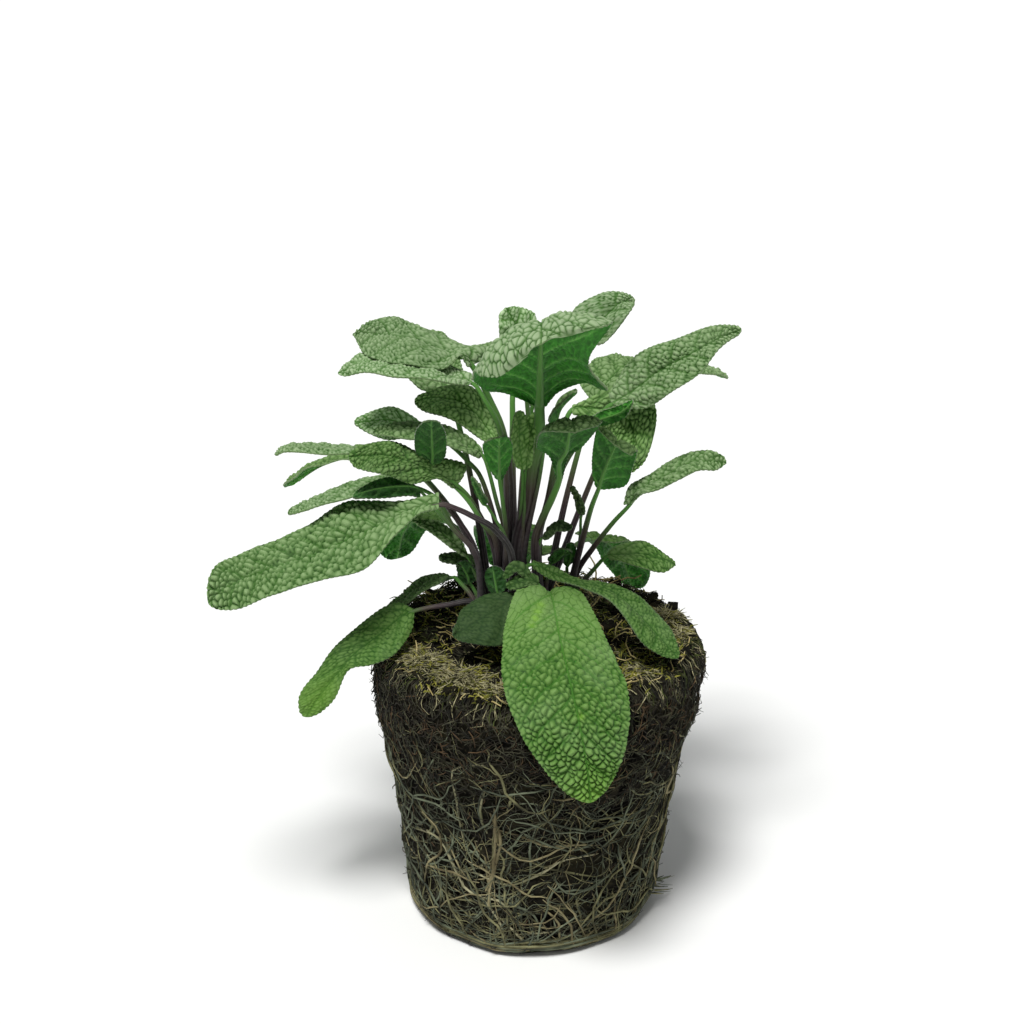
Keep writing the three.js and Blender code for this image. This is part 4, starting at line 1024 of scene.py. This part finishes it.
innerRightShoot = {
    "node": "inner_right_shoot", "foot": (3, 7),
    "leaves": [
        laidLeaf([[2, 9, 121], [9, 10, 144], [18, 10, 159]], [
            [[23, 12, 168], [24, 10, 166], [26, 8, 166]],
            [[26, 14, 173], [30, 10, 170], [34, 6, 166]],
            [[32, 14, 181], [38, 9, 177], [41, 1, 173]],
            [[42, 12, 186], [46, 6, 183], [50, 0, 180]],
            [[54, 8, 192], [55, 4, 189], [56, 1, 188]],
            [[62, 3, 194], [62, 2, 193], [62, 1, 192]],
        ], pebble=1.9, relief=0.42, pale=0.6),
        laidLeaf([[2, 7, 121], [5, 8, 136], [8, 11, 152]], [
            [[12, 14, 164], [12, 13, 163], [12, 12, 162]],
            [[18, 16, 166], [18, 14, 163], [19, 11, 159]],
            [[27, 17, 170], [25, 15, 162], [22, 12, 156]],
            [[36, 15, 166], [30, 14, 158], [23, 12, 153]],
            [[38, 12, 160], [31, 11, 153], [24, 10, 150]],
            [[35, 8, 149], [30, 8, 147], [24, 8, 146]],
            [[30, 7, 144], [28, 7, 143], [25, 7, 144]],
        ], pebble=2.1, relief=0.5, fresh=0.3, light=1.15),
        laidLeaf([[2, 4, 122], [6, 3, 141], [11, 3, 156]], [
            [[19, 3, 162], [18, 3, 163], [17, 3, 164]],
            [[23, 1, 163], [22, 0, 166], [21, 0, 168]],
            [[28, -3, 167], [27, -3, 169], [26, -3, 171]],
            [[30, -6, 172], [30, -6, 173], [30, -6, 174]],
        ], shade=0.1),
        laidLeaf([[1, 2, 122], [3, 0, 132], [6, -4, 141]], [
            [[9, -8, 149], [8, -8, 149], [7, -8, 149]],
            [[11, -13, 159], [8, -12, 157], [5, -12, 158]],
            [[15, -18, 164], [10, -17, 163], [1, -17, 163]],
            [[20, -25, 174], [11, -25, 175], [2, -25, 171]],
            [[18, -31, 175], [12, -33, 174], [4, -32, 174]],
        ], shade=0.45, stout=1.3),
        leaf([[2, 3, 120]],
             [[3, 0, 126], [7, -3, 132], [12, -6, 132]], 6, face=[0, -0.3, 0.9], cup=0.5, shade=0.7),
        leaf([[5, 8, 110]],
             [[6, 8, 114], [9, 7, 118], [11, 5, 120]], 7, face=[0, 0.5, 0.8], shade=0.5),
    ],
}

outerRightShoot = {
    "node": "outer_right_shoot", "foot": (11, 14),
    "leaves": [
        laidLeaf([[13, 12, 108], [16, 7, 124], [18, 2, 135]], [
            [[21, -4, 144], [20, -4, 144], [19, -4, 145]],
            [[28, -6, 146], [21, -6, 149], [18, -5, 150]],
            [[30, -11, 154], [23, -11, 157], [18, -9, 159]],
            [[31, -15, 161], [25, -15, 164], [19, -14, 168]],
            [[29, -20, 161], [24, -20, 165], [20, -18, 168]],
        ], fresh=0.3, shade=0.3),
        laidLeaf([[14, 13, 108], [19, 12, 117], [25, 11, 126]], [
            [[28, 9, 133], [30, 9, 133], [31, 8, 134]],
            [[30, 12, 138], [32, 8, 138], [34, 4, 139]],
            [[36, 12, 142], [38, 7, 142], [40, 2, 142]],
            [[46, 11, 149], [48, 5, 149], [49, 0, 148]],
            [[54, 7, 152], [54, 3, 150], [55, -1, 149]],
            [[59, 4, 151], [59, 2, 150], [58, 1, 149]],
        ], pebble=2.0, relief=0.5, pale=0.45),
        laidLeaf([[14, 10, 104], [18, 6, 111]], [
            [[23, 5, 118], [23, 4, 118], [24, 3, 117]],
            [[26, 7, 120], [26, 3, 119], [27, 0, 118]],
            [[34, 7, 122], [34, 1, 120], [34, -5, 118]],
            [[41, 1, 120], [41, -1, 119], [40, -4, 116]],
            [[44, -2, 119], [44, -3, 118], [43, -3, 117]],
        ], pebble=1.9, relief=0.3, calm=0.4, fresh=0.7, light=0.95),
        leaf([[14, 12, 113], [15, 11, 122], [15, 10, 126]],
             [[15, 10, 129], [14, 8, 135], [12, 7, 140]], 5, face=[-0.7, -0.5, 0.3], shade=0.5),
        leaf([[11, 13, 108]],
             [[11, 12, 111], [12, 11, 116], [12, 10, 120]], 4, face=[0, 0.5, 0.8], shade=0.5),
    ],
}

backLeftShoot = {
    "node": "back_left_shoot", "foot": (-13, 18),
    "leaves": [
        leaf([[-17, 20, 125], [-22, 25, 150]],
             [[-26, 30, 161], [-33, 40, 170], [-38, 52, 172], [-42, 64, 166]], 22,
             face=[0, -0.1, 1], relief=0.5, pale=0.3),
        leaf([[-20, 18, 118], [-30, 23, 132]],
             [[-38, 26, 138], [-52, 32, 141], [-66, 37, 136], [-78, 41, 126]], 23,
             face=[-0.1, 0.2, 1], fresh=0.3),
        leaf([[-16, 21, 108], [-22, 30, 114]],
             [[-28, 38, 115], [-36, 50, 112], [-42, 61, 102], [-45, 68, 88]], 20,
             face=[-0.2, 0.4, 0.9], fresh=0.7),
    ],
}

backShoot = {
    "node": "back_shoot", "foot": (-5, 20),
    "leaves": [
        leaf([[-6, 26, 130], [-6, 31, 150]],
             [[-6, 34, 160], [-5, 41, 168], [-4, 51, 170], [-3, 61, 164]], 24,
             face=[0, 0, 1], pebble=2.2, pale=0.4),
        leaf([[-5, 28, 104], [-6, 38, 107]],
             [[-7, 46, 107], [-8, 58, 104], [-8, 70, 94], [-8, 77, 80]], 22, face=[0, 0.4, 0.9], fresh=0.8),
        leaf([[-3, 21, 136], [-1, 22, 152]],
             [[0, 23, 160], [2, 27, 170], [3, 34, 176], [4, 42, 176]], 15, face=[0, -0.3, 1], pale=0.6),
        leaf([[-2, 24, 104]],
             [[0, 29, 107], [4, 38, 106], [7, 46, 100]], 11, face=[0.1, 0.2, 0.9], fresh=0.5, shade=0.3),
    ],
}

backRightShoot = {
    "node": "back_right_shoot", "foot": (4, 18),
    "leaves": [
        leaf([[10, 24, 125], [16, 30, 148]],
             [[19, 34, 157], [27, 44, 164], [34, 55, 163], [40, 64, 155]], 21,
             face=[0, 0, 1], pebble=2.1, pale=0.2),
        leaf([[8, 26, 104], [14, 38, 106]],
             [[19, 48, 104], [25, 60, 99], [31, 69, 88], [35, 75, 74]], 20,
             face=[0.2, 0.4, 0.9], fresh=0.9),
        leaf([[14, 24, 122], [24, 30, 146]],
             [[30, 34, 156], [40, 40, 164], [51, 46, 165], [62, 50, 160]], 18,
             face=[0.1, 0.1, 1], relief=0.5, pale=0.5),
    ],
}


shoots = (centreShoot, upperLeftShoot, middleLeftShoot, longLeftShoot, lowerLeftShoot, trailingLeftLeaves,
          frontHangingLeaf, frontRightLeaf, innerRightShoot, outerRightShoot, backLeftShoot, backShoot,
          backRightShoot)
for shoot in shoots:
    growShoot(shoot)
print("shoots grown")


# Root ball

ball = {
    "drift": 2,   # mm that its top stands off its foot to the right
    "columns": 300, "bottomRows": 10, "grain": 0.8,
    # height and radius up the side, and the radius at which the rim meets the top
    "profile": [(0, 35), (2, 37.6), (8, 39.2), (20, 40.3), (34, 41.6), (46, 43.6), (57, 46.2), (68, 48.7),
                (79, 49.9), (88, 49.6), (91, 47.5)],
    "topEdge": 43,
    # lumps round the side: how many, how they turn with the height, their shift and their share
    "lumps": 0.8, "waves": [(3, 0.09, 0, 0.5), (7, -0.13, 1, 0.4), (11, 0.3, 2, 0.35), (5, -0.4, 0, 0.3)],
    "humps": 1.3, "topHumps": 1.8, "humpSize": 7.0, "crumbs": 0.8, "crumbSize": 2.2,
    "grit": 0.3, "gritSize": 0.9,
}


def ballRadius(height):
    heights, radii = zip(*ball["profile"])
    return np.interp(height, heights, radii)


def ballLump(angle, height):
    return ball["lumps"] * sum(share * np.sin(around * angle + turn * height + shift)
                               for around, turn, shift, share in ball["waves"])


def topRough(x, y):
    return 0.7 * np.sin(0.31 * x + 1) * np.sin(0.27 * y) + 0.5 * np.sin(0.7 * x - 0.5 * y)


def onBall(angle, height, out=0.0):  # angle in radians from +X, as the lumps count it
    radius = ballRadius(height) + out + ballLump(angle, height)
    return np.array([ball["drift"] * height / crown["ballHeight"] + radius * math.cos(angle),
                     radius * math.sin(angle), height])


def onTop(x, y, out=0.0):
    return np.array([x, y, soilHeight(x, y) + topRough(x, y) + out])


def makeBall():
    ends = [(ball["topEdge"], crown["ballHeight"]), (0, crown["ballHeight"])]
    outline = np.array([(0, 0)] + [(radius, height) for height, radius in ball["profile"]] + ends, float)
    runs = np.concatenate([[0], np.cumsum(np.linalg.norm(np.diff(outline, axis=0), axis=1))])
    bottom = ball["bottomRows"]
    sideRows = round((runs[-1] - runs[1]) / ball["grain"])
    rows = bottom + sideRows

    def rule(shareAround, shareAlong):
        row = np.round(shareAlong * rows)
        pastFoot = (row - bottom) / sideRows * (runs[-1] - runs[1])
        run = np.where(row < bottom, row / bottom * runs[1], runs[1] + pastFoot)
        radius, height = np.interp(run, runs, outline[:, 0]), np.interp(run, runs, outline[:, 1])
        angle = 2 * math.pi * shareAround
        top = smoothstep(runs[-3] - 3, runs[-2] + 2, run)
        side = smoothstep(0.2, 6, height) * (1 - top)
        radius = radius + side * ballLump(angle, height)
        x = ball["drift"] * height / crown["ballHeight"] + radius * np.cos(angle)
        y = radius * np.sin(angle)
        z = height + top * (soilHeight(x, y) - crown["ballHeight"] + topRough(x, y))
        place = np.stack([x, y, z], -1)
        outward = unit(np.stack([np.cos(angle) * (1 - top), np.sin(angle) * (1 - top), top + 0.2], -1))
        humps, crumbs, grit = (np.array([noise.noise(Vector(point / ball[size])) for point in place])
                               for size in ("humpSize", "crumbSize", "gritSize"))
        rough = ((ball["humps"] + (ball["topHumps"] - ball["humps"]) * top) * humps + ball["crumbs"] * crumbs
                 + ball["grit"] * grit)
        free = smoothstep(0.3, 4, height)
        place = place + outward * (rough * free)[:, None]
        # hollow marks the low places of the rough surface, which the peat darkens as painted shade
        return place, {"hollow": smoothstep(-0.1, -0.9, rough)}

    piece = layGrid(ball["columns"], rows, rule)
    weld(piece)
    piece.data.materials.append(peat)
    finishPiece(joinAs("root_ball_peat", [piece]), "root_ball")


def layStrands(name, finishes, strands):
    # strands of round section: each has a finish's number, its points and their radii, in mm
    deselectAll()
    bpy.ops.curve.primitive_bezier_curve_add()
    piece = bpy.context.object
    curve = piece.data
    curve.splines.clear()
    curve.bevel_depth = mm
    curve.bevel_resolution = 0
    curve.use_fill_caps = True
    for finish in finishes:
        curve.materials.append(finish)
    for number, points, radii in strands:
        line = curve.splines.new("POLY")
        line.points.add(len(points) - 1)
        line.points.foreach_set("co", np.column_stack([np.array(points) * mm, np.ones(len(points))]).ravel())
        line.points.foreach_set("radius", radii)
        line.material_index = number
    pick(piece)
    bpy.ops.object.convert(target="MESH")
    finishPiece(joinAs(name, [bpy.context.object]))


def bristleRadii(count, radius, tip=0.35):
    return [radius * (1 - (1 - tip) * abs(2 * i / (count - 1) - 1)**3) for i in range(count)]


# The stout roots on the front: thickness in mm, then angle from the front in degrees and height in mm
stoutRoots = [
    [1.5, (-80, 33), (-62, 36), (-45, 38), (-36, 30), (-31, 23), (-23, 21), (-17, 15), (-13, 9), (-12, 4)],
    [2.0, (-16, 56), (-16, 46), (-17, 37), (-18, 30), (-21, 24)],
    [1.6, (-18, 54), (-14, 45), (-16, 36), (-19, 25), (-20, 12)],
    [1.1, (-18, 66), (-22, 55), (-20, 47), (-17, 43)],
    [0.9, (-12, 52), (-10, 60), (-7, 68)],
    [1.2, (-33, 30), (-25, 30), (-17, 28), (-9, 27), (4, 32), (12, 36), (29, 37)],
    [0.9, (-9, 59), (-1, 60), (2, 57)],
    [0.9, (-4, 48), (3, 51), (5, 57)],
    [1.0, (-13, 44), (-9, 41), (-10, 36), (-14, 27)],
    [1.0, (-9, 40), (-1, 36), (7, 33), (16, 31), (27, 28)],
    [1.1, (-15, 48), (-6, 46), (5, 42), (17, 42), (28, 40)],
    [1.2, (-23, 21), (-15, 21), (-9, 17)],
    [1.6, (-21, 18), (-25, 14), (-30, 9), (-35, 4), (-42, 2)],
    [1.1, (-17, 15), (-10, 11), (-3, 6), (6, 2), (18, 2)],
    [0.9, (-6, 9), (5, 10), (13, 10)],
    [0.9, (-2, 18), (8, 19), (21, 19), (31, 19)],
    [0.9, (10, 28), (7, 20), (18, 12), (23, 7)],
    [1.4, (31, 19), (42, 17), (48, 21), (62, 26), (64, 38)],
    [1.4, (24, 2), (38, 3), (50, 4), (64, 4), (76, 3)],
    [1.1, (10, 2), (23, 4), (32, 7), (45, 9)],
    [1.0, (-72, 19), (-65, 16), (-54, 15)],
    [1.1, (-52, 7), (-45, 7), (-34, 6)],
    [0.9, (-31, 36), (-24, 38), (-16, 40)],
    [0.8, (-29, 41), (-20, 42), (-15, 42)],
    [0.8, (-27, 9), (-23, 9), (-27, 6), (-26, 4)],
    [1.0, (19, 50), (28, 50), (43, 49), (56, 46)],
    [0.9, (-9, 24), (-6, 19), (-5, 14), (-8, 11)],
    [0.9, (-48, 21), (-34, 28), (-20, 34), (-13, 35)],
    [1.1, (-71, 35), (-58, 31), (-47, 27), (-44, 22)],
    [1.1, (-17, 73), (-26, 71), (-32, 67), (-32, 58), (-32, 45), (-30, 37)],
    [1.0, (-39, 71), (-45, 62), (-50, 56)],
    [1.0, (-16, 69), (-19, 64), (-23, 55), (-20, 46)],
    [1.0, (-6, 71), (-9, 62), (-12, 52)],
    [1.2, (-75, 47), (-53, 47), (-43, 39), (-33, 32)],
    [1.0, (40, 71), (50, 58), (65, 47)],
    [0.9, (31, 66), (45, 59), (71, 45)],
]
rootNet = {"seed": 5, "stoutShare": 0.85, "wandering": 640, "step": 3.0, "topHeight": 66, "thinnest": 0.3,
           "thickest": 0.95, "turnRadius": 42, "footBand": 5, "tuftRoots": 16, "ringRoots": 46,
           "ringRadius": 38}


def frontToAngle(degrees):  # from an angle off the front to one off +X
    return math.radians(degrees - 90)


def makeRootNet():
    draw = random.Random(rootNet["seed"])
    strands = []
    for listed, *knots in stoutRoots:
        thickness = rootNet["stoutShare"] * listed
        path = smoothPath([[angle, height, 0] for angle, height in knots], 20)
        count = max(5, round(path["length"] / 3.5))
        flat = pathAt(path, np.linspace(0, path["length"], count))
        points = [onBall(frontToAngle(angle), max(height, thickness / 2 + 0.3), 0.35 * thickness)
                  for angle, height, _ in flat]
        strands.append((draw.choice((0, 1, 2, 3, 3)), points, bristleRadii(count, thickness / 2)))
    for _ in range(rootNet["wandering"]):
        angle = draw.uniform(0, 2 * math.pi)
        height = rootNet["topHeight"] * draw.random()**1.3 + 3
        heading = draw.gauss(0, 0.9)  # 0 points down
        radius = draw.uniform(rootNet["thinnest"], rootNet["thickest"])**1.5 / 2
        lift = draw.uniform(-0.1, 0.9)
        count = draw.randint(6, 16)
        points = []
        for _ in range(count):
            points.append(onBall(angle, max(height, radius + 0.2), radius + lift))
            heading += draw.gauss(0, 0.32)
            if height < rootNet["footBand"]:
                heading = math.copysign(math.pi / 2, math.sin(heading))
            height = max(1.0, height - rootNet["step"] * math.cos(heading))
            angle += rootNet["step"] * math.sin(heading) / rootNet["turnRadius"]
        strands.append((draw.choice((0, 0, 1, 1, 2)), points, bristleRadii(count, radius)))
    for _ in range(rootNet["tuftRoots"]):  # loose ends low on the right
        angle, height = frontToAngle(draw.gauss(78, 3)), max(2, draw.gauss(7, 2))
        radius, reach, sag = draw.uniform(0.12, 0.3), draw.uniform(3, 7), draw.uniform(-0.6, 0.2)
        points = [onBall(angle + 0.02 * i, max(height + sag * i, radius + 0.2), 0.3 + reach * i / 4)
                  for i in range(5)]
        strands.append((draw.choice((0, 1)), points, bristleRadii(5, radius)))
    for _ in range(rootNet["ringRoots"]):  # those that curl round the foot, where the pot turned them
        angle, height = draw.uniform(0, 2 * math.pi), draw.uniform(0.8, 7)
        radius, count = draw.uniform(0.3, 0.65), draw.randint(8, 18)
        drift = draw.uniform(-0.25, 0.25)
        points = []
        for _ in range(count):
            points.append(onBall(angle, max(height, radius + 0.1), radius * 0.8 + draw.uniform(0, 0.25)))
            angle += rootNet["step"] / rootNet["ringRadius"]
            height = min(9, max(0.6, height + drift + draw.gauss(0, 0.35)))
        strands.append((draw.choice((0, 0, 1, 2)), points, bristleRadii(count, radius)))
    layStrands("root_net", (rootKhaki, rootGrey, rootTan, rootPale), strands)


fibres = {"seed": 8, "count": 6700, "shortest": 2, "longest": 7.5, "thinnest": 0.09, "thickest": 0.2,
          "lowest": 2, "highest": 91, "anywhere": 0.55, "restAbove": 58, "turnRadius": 45,
          "loose": 0.12, "looseLift": 0.8, "orangeAbove": 0.14, "orangeBelow": 0.04, "oliveShare": 0.4}


def makeFibres():
    draw = random.Random(fibres["seed"])
    strands = []
    for _ in range(fibres["count"]):
        angle = draw.uniform(0, 2 * math.pi)
        bottom = fibres["lowest"] if draw.random() < fibres["anywhere"] else fibres["restAbove"]
        height = draw.uniform(bottom, fibres["highest"])
        heading, length = draw.uniform(0, math.pi), draw.uniform(fibres["shortest"], fibres["longest"])
        radius = draw.uniform(fibres["thinnest"], fibres["thickest"])
        bend, rise = draw.gauss(0, 0.5), draw.uniform(-0.2, 0.4)
        if draw.random() < fibres["loose"]:
            rise = fibres["looseLift"]
        off = radius + (1.1 if height > 72 else 0.4)
        points = []
        for i in range(4):
            within = min(fibres["highest"], max(height, 0.5))
            points.append(onBall(angle, within, off + rise * i * draw.random()))
            heading += bend
            height -= length / 3 * math.cos(heading)
            angle += length / 3 * math.sin(heading) / fibres["turnRadius"]
        orange = fibres["orangeAbove"] if height > 60 else fibres["orangeBelow"]
        kind = draw.random()
        finish = 2 if kind < orange else 1 if kind < orange + fibres["oliveShare"] else 0
        strands.append((finish, points, [radius, radius, radius * 0.9, radius * 0.5]))
    layStrands("peat_fibres", (fibreBrown, fibreOlive, fibreOrange), strands)


# Root hairs: long, very thin and curly, over peat and roots
threads = {"seed": 9, "count": 1500, "step": 1.8, "thinnest": 0.08, "thickest": 0.17, "topHeight": 84,
           "turnRadius": 44}


def makeThreads():
    draw = random.Random(threads["seed"])
    strands = []
    for _ in range(threads["count"]):
        angle, height = draw.uniform(0, 2 * math.pi), threads["topHeight"] * draw.random()**1.2 + 2
        heading, turn = draw.gauss(0, 1.2), draw.gauss(0, 0.15)
        radius, lift = draw.uniform(threads["thinnest"], threads["thickest"]), draw.uniform(0.2, 1.1)
        count = draw.randint(6, 11)
        points = []
        for _ in range(count):
            points.append(onBall(angle, max(height, radius + 0.2), radius + lift))
            heading += turn + draw.gauss(0, 0.3)
            height = min(89, max(0.8, height - threads["step"] * math.cos(heading)))
            angle += threads["step"] * math.sin(heading) / threads["turnRadius"]
        strands.append((draw.choice((0, 1, 1, 2)), points, bristleRadii(count, radius)))
    layStrands("root_threads", (rootKhaki, rootGrey, fibreOlive), strands)


litter = {"seed": 3, "straws": 260, "mossTufts": 150, "mossLeaves": 16, "crumbs": 520, "fluff": 2600,
          "reach": 48, "mossReach": 47, "strawEnds": 49, "coirEnds": 49.5, "crumbSizes": (0.5, 1.7)}
# Clumps of pale coir on the top: x, y, reach and height in mm, and the number of fibres
coirClumps = [(-39, -12, 6, 3, 420), (-32, -21, 7, 4, 620), (-21, -30, 8, 3.5, 760), (-11, -38, 6, 2, 380),
              (41, 12, 7, 2.5, 420), (44, -2, 5, 3, 320), (33, -25, 6, 1.5, 240), (20, 30, 9, 2, 300)]


def drawTopPlace(draw, reach):
    radius, angle = reach * math.sqrt(draw.random()), draw.uniform(0, 2 * math.pi)
    return ball["drift"] + radius * math.cos(angle), radius * math.sin(angle)


def makeStraws():
    draw = random.Random(litter["seed"])
    strands = []
    for _ in range(litter["straws"]):
        x, y = drawTopPlace(draw, litter["reach"])
        heading, length = draw.uniform(0, 2 * math.pi), draw.uniform(3, 12)
        radius, tilt, bend = draw.uniform(0.12, 0.3), draw.gauss(0.1, 0.25), draw.gauss(0, 0.35)
        points = []
        for i in range(4):
            lift = 0.9 + max(-0.4, tilt * i * length / 3)
            points.append(onTop(x, y, lift))
            heading += bend
            x += length / 3 * math.cos(heading)
            y += length / 3 * math.sin(heading)
            reach = math.hypot(x, y) / litter["strawEnds"]
            if reach > 1:
                x, y = x / reach, y / reach
        strands.append((0, points, [radius, radius, radius, radius * 0.7]))
    layStrands("straw_bits", (strawPale,), strands)


def makeCoir():
    draw = random.Random(litter["seed"] + 3)
    strands = []
    for cx, cy, reach, tall, count in coirClumps:
        for _ in range(count):
            away, turn = reach * math.sqrt(draw.random()), draw.uniform(0, 2 * math.pi)
            x, y = cx + away * math.cos(turn), cy + away * math.sin(turn)
            lift = 0.4 + tall * (1 - (away / reach)**2) * draw.uniform(0.5, 1)
            heading, length, bend = draw.uniform(0, 2 * math.pi), draw.uniform(1.2, 5), draw.gauss(0, 0.7)
            radius, tilt = draw.uniform(0.08, 0.2), draw.gauss(0, 0.3)
            points = []
            for i in range(3):
                points.append(onTop(x, y, max(0.2, lift + tilt * i)))
                heading += bend
                x += length / 2 * math.cos(heading)
                y += length / 2 * math.sin(heading)
                far = math.hypot(x - ball["drift"], y) / litter["coirEnds"]
                x, y = (x, y) if far < 1 else (ball["drift"] + (x - ball["drift"]) / far, y / far)
            strands.append((draw.choice((0, 0, 0, 1, 3)), points, [radius, radius, radius * 0.6]))
    for _ in range(litter["fluff"]):  # fine brown bits all over the top
        x, y = drawTopPlace(draw, litter["reach"])
        heading, length, radius = draw.uniform(0, 2 * math.pi), draw.uniform(1, 4), draw.uniform(0.08, 0.18)
        step = np.array([math.cos(heading), math.sin(heading)]) * length / 2
        lift = draw.uniform(0.3, 1.4)
        points = [onTop(x + step[0] * i, y + step[1] * i, lift + 0.2 * draw.gauss(0, 1)) for i in (-1, 0, 1)]
        strands.append((draw.choice((0, 1, 2, 2)), points, [radius, radius, radius * 0.6]))
    layStrands("coir_clumps", (coirPale, fibreOlive, fibreBrown, mossYellow), strands)


# Bits of coir, moss and root that hang from the top over the rim
drape = {"seed": 21, "count": 900, "step": 2.2, "thinnest": 0.09, "thickest": 0.22,
         "rimHeight": 90, "startHeight": 91.5}


def makeDrape():
    draw = random.Random(drape["seed"])
    strands = []
    for _ in range(drape["count"]):
        angle, inset = draw.uniform(0, 2 * math.pi), draw.uniform(1, 5)
        radius, lift = draw.uniform(drape["thinnest"], drape["thickest"]), draw.uniform(0.6, 1.8)
        inner = ballRadius(drape["rimHeight"]) - inset
        x, y = ball["drift"] + inner * math.cos(angle), inner * math.sin(angle)
        points = [onTop(x, y, lift)]
        height = drape["startHeight"]
        for _ in range(draw.randint(2, 5)):
            points.append(onBall(angle, height, lift))
            height -= drape["step"] * draw.uniform(0.5, 1.3)
            angle += draw.gauss(0, 0.03)
        strands.append((draw.choice((0, 1, 1, 2, 2, 3)), points, bristleRadii(len(points), radius)))
    layStrands("rim_drape", (coirPale, fibreOlive, fibreBrown, mossOlive), strands)


def makeMoss():
    draw = random.Random(litter["seed"] + 1)
    strands = []
    for _ in range(litter["mossTufts"]):
        cx, cy = drawTopPlace(draw, litter["mossReach"])
        finish = draw.choice((0, 0, 1))
        for _ in range(litter["mossLeaves"]):
            x, y = cx + draw.gauss(0, 2.2), cy + draw.gauss(0, 2.2)
            heading, length = draw.uniform(0, 2 * math.pi), draw.uniform(1.2, 3)
            tilt = draw.uniform(0.2, 1.2)
            points = [onTop(x, y, 0.4) + length * share * np.array(
                [math.cos(heading) * share, math.sin(heading) * share, tilt * (1 - 0.4 * share)])
                for share in (0, 0.5, 1)]
            strands.append((finish, points, [0.18, 0.3, 0.08]))
    layStrands("moss_tufts", (mossYellow, mossOlive), strands)


def makeCrumbs():
    draw = random.Random(litter["seed"] + 2)
    deselectAll()
    bpy.ops.mesh.primitive_ico_sphere_add(subdivisions=2, radius=1)
    model = bpy.context.object
    for point in model.data.vertices:
        point.co *= 1 + 0.6 * noise.noise(point.co * 1.3)
    model.data.materials.append(peat)
    crumbs = []
    for _ in range(litter["crumbs"]):
        x, y = drawTopPlace(draw, litter["reach"])
        size = draw.uniform(*litter["crumbSizes"]) * mm
        crumb = bpy.data.objects.new("crumb", model.data.copy())
        bpy.context.collection.objects.link(crumb)
        crumb.location = Vector(onTop(x, y, 0.6)) * mm
        crumb.rotation_euler = [draw.uniform(0, 6.28) for _ in range(3)]
        crumb.scale = (size, size * draw.uniform(0.6, 1), size * draw.uniform(0.5, 0.9))
        crumbs.append(crumb)
    bpy.data.objects.remove(model)
    pick(*crumbs)
    bpy.ops.object.join()
    bpy.ops.object.transform_apply(location=True, rotation=True, scale=True)
    finishPiece(joinAs("peat_crumbs", [bpy.context.object]))


makeBall()
makeRootNet()
makeFibres()
makeThreads()
makeCoir()
makeDrape()
makeStraws()
makeMoss()
makeCrumbs()
print("root ball made")


# Floor, light and camera

paper = {"size": 12, "colour": "#f4f4f2", "roughness": 0.9}


def makeFloor():
    deselectAll()
    bpy.ops.mesh.primitive_plane_add(size=paper["size"])
    floor = bpy.context.object
    floor.name = "floor"
    material, tree = startMaterial("palePaper")
    endMaterial(tree, addNode(tree, "BsdfPrincipled", {"Base Color": linear(paper["colour"]),
                                                       "Roughness": paper["roughness"]}))
    floor.data.materials.append(material)


# a high, wide window of soft light and a pale room round it
studio = {"room": 0.3, "roomColour": "#f8fafc", "sunStrength": 3.15, "sunWidth": math.radians(19),
          "sunTurn": (math.radians(22), math.radians(-9), 0)}


def makeStudio():
    world = bpy.data.worlds.new("paleRoom")
    bpy.context.scene.world = world
    world.use_nodes = True
    sky = world.node_tree.nodes["Background"]
    sky.inputs["Color"].default_value = linear(studio["roomColour"])
    sky.inputs["Strength"].default_value = studio["room"]
    bpy.ops.object.light_add(type="SUN", location=(0, 0, 2), rotation=studio["sunTurn"])
    window = bpy.context.object
    window.name = "overhead_window"
    window.data.energy = studio["sunStrength"]
    window.data.angle = studio["sunWidth"]


# fitted to the ball in the photo: metres, degrees off straight down, and mm of lens and sensor
view = {"place": (-0.0062, -0.7754, 0.4733), "tilt": 66.4, "lens": 97.5, "sensorWidth": 36, "farEnd": 30}


def makeCamera():
    bpy.ops.object.camera_add(location=view["place"], rotation=(math.radians(view["tilt"]), 0, 0))
    camera = bpy.context.object
    camera.data.lens = view["lens"]
    camera.data.sensor_width = view["sensorWidth"]
    camera.data.clip_end = view["farEnd"]
    bpy.context.scene.camera = camera


makeFloor()
makeStudio()
makeCamera()
bpy.context.scene.view_settings.view_transform = "Standard"
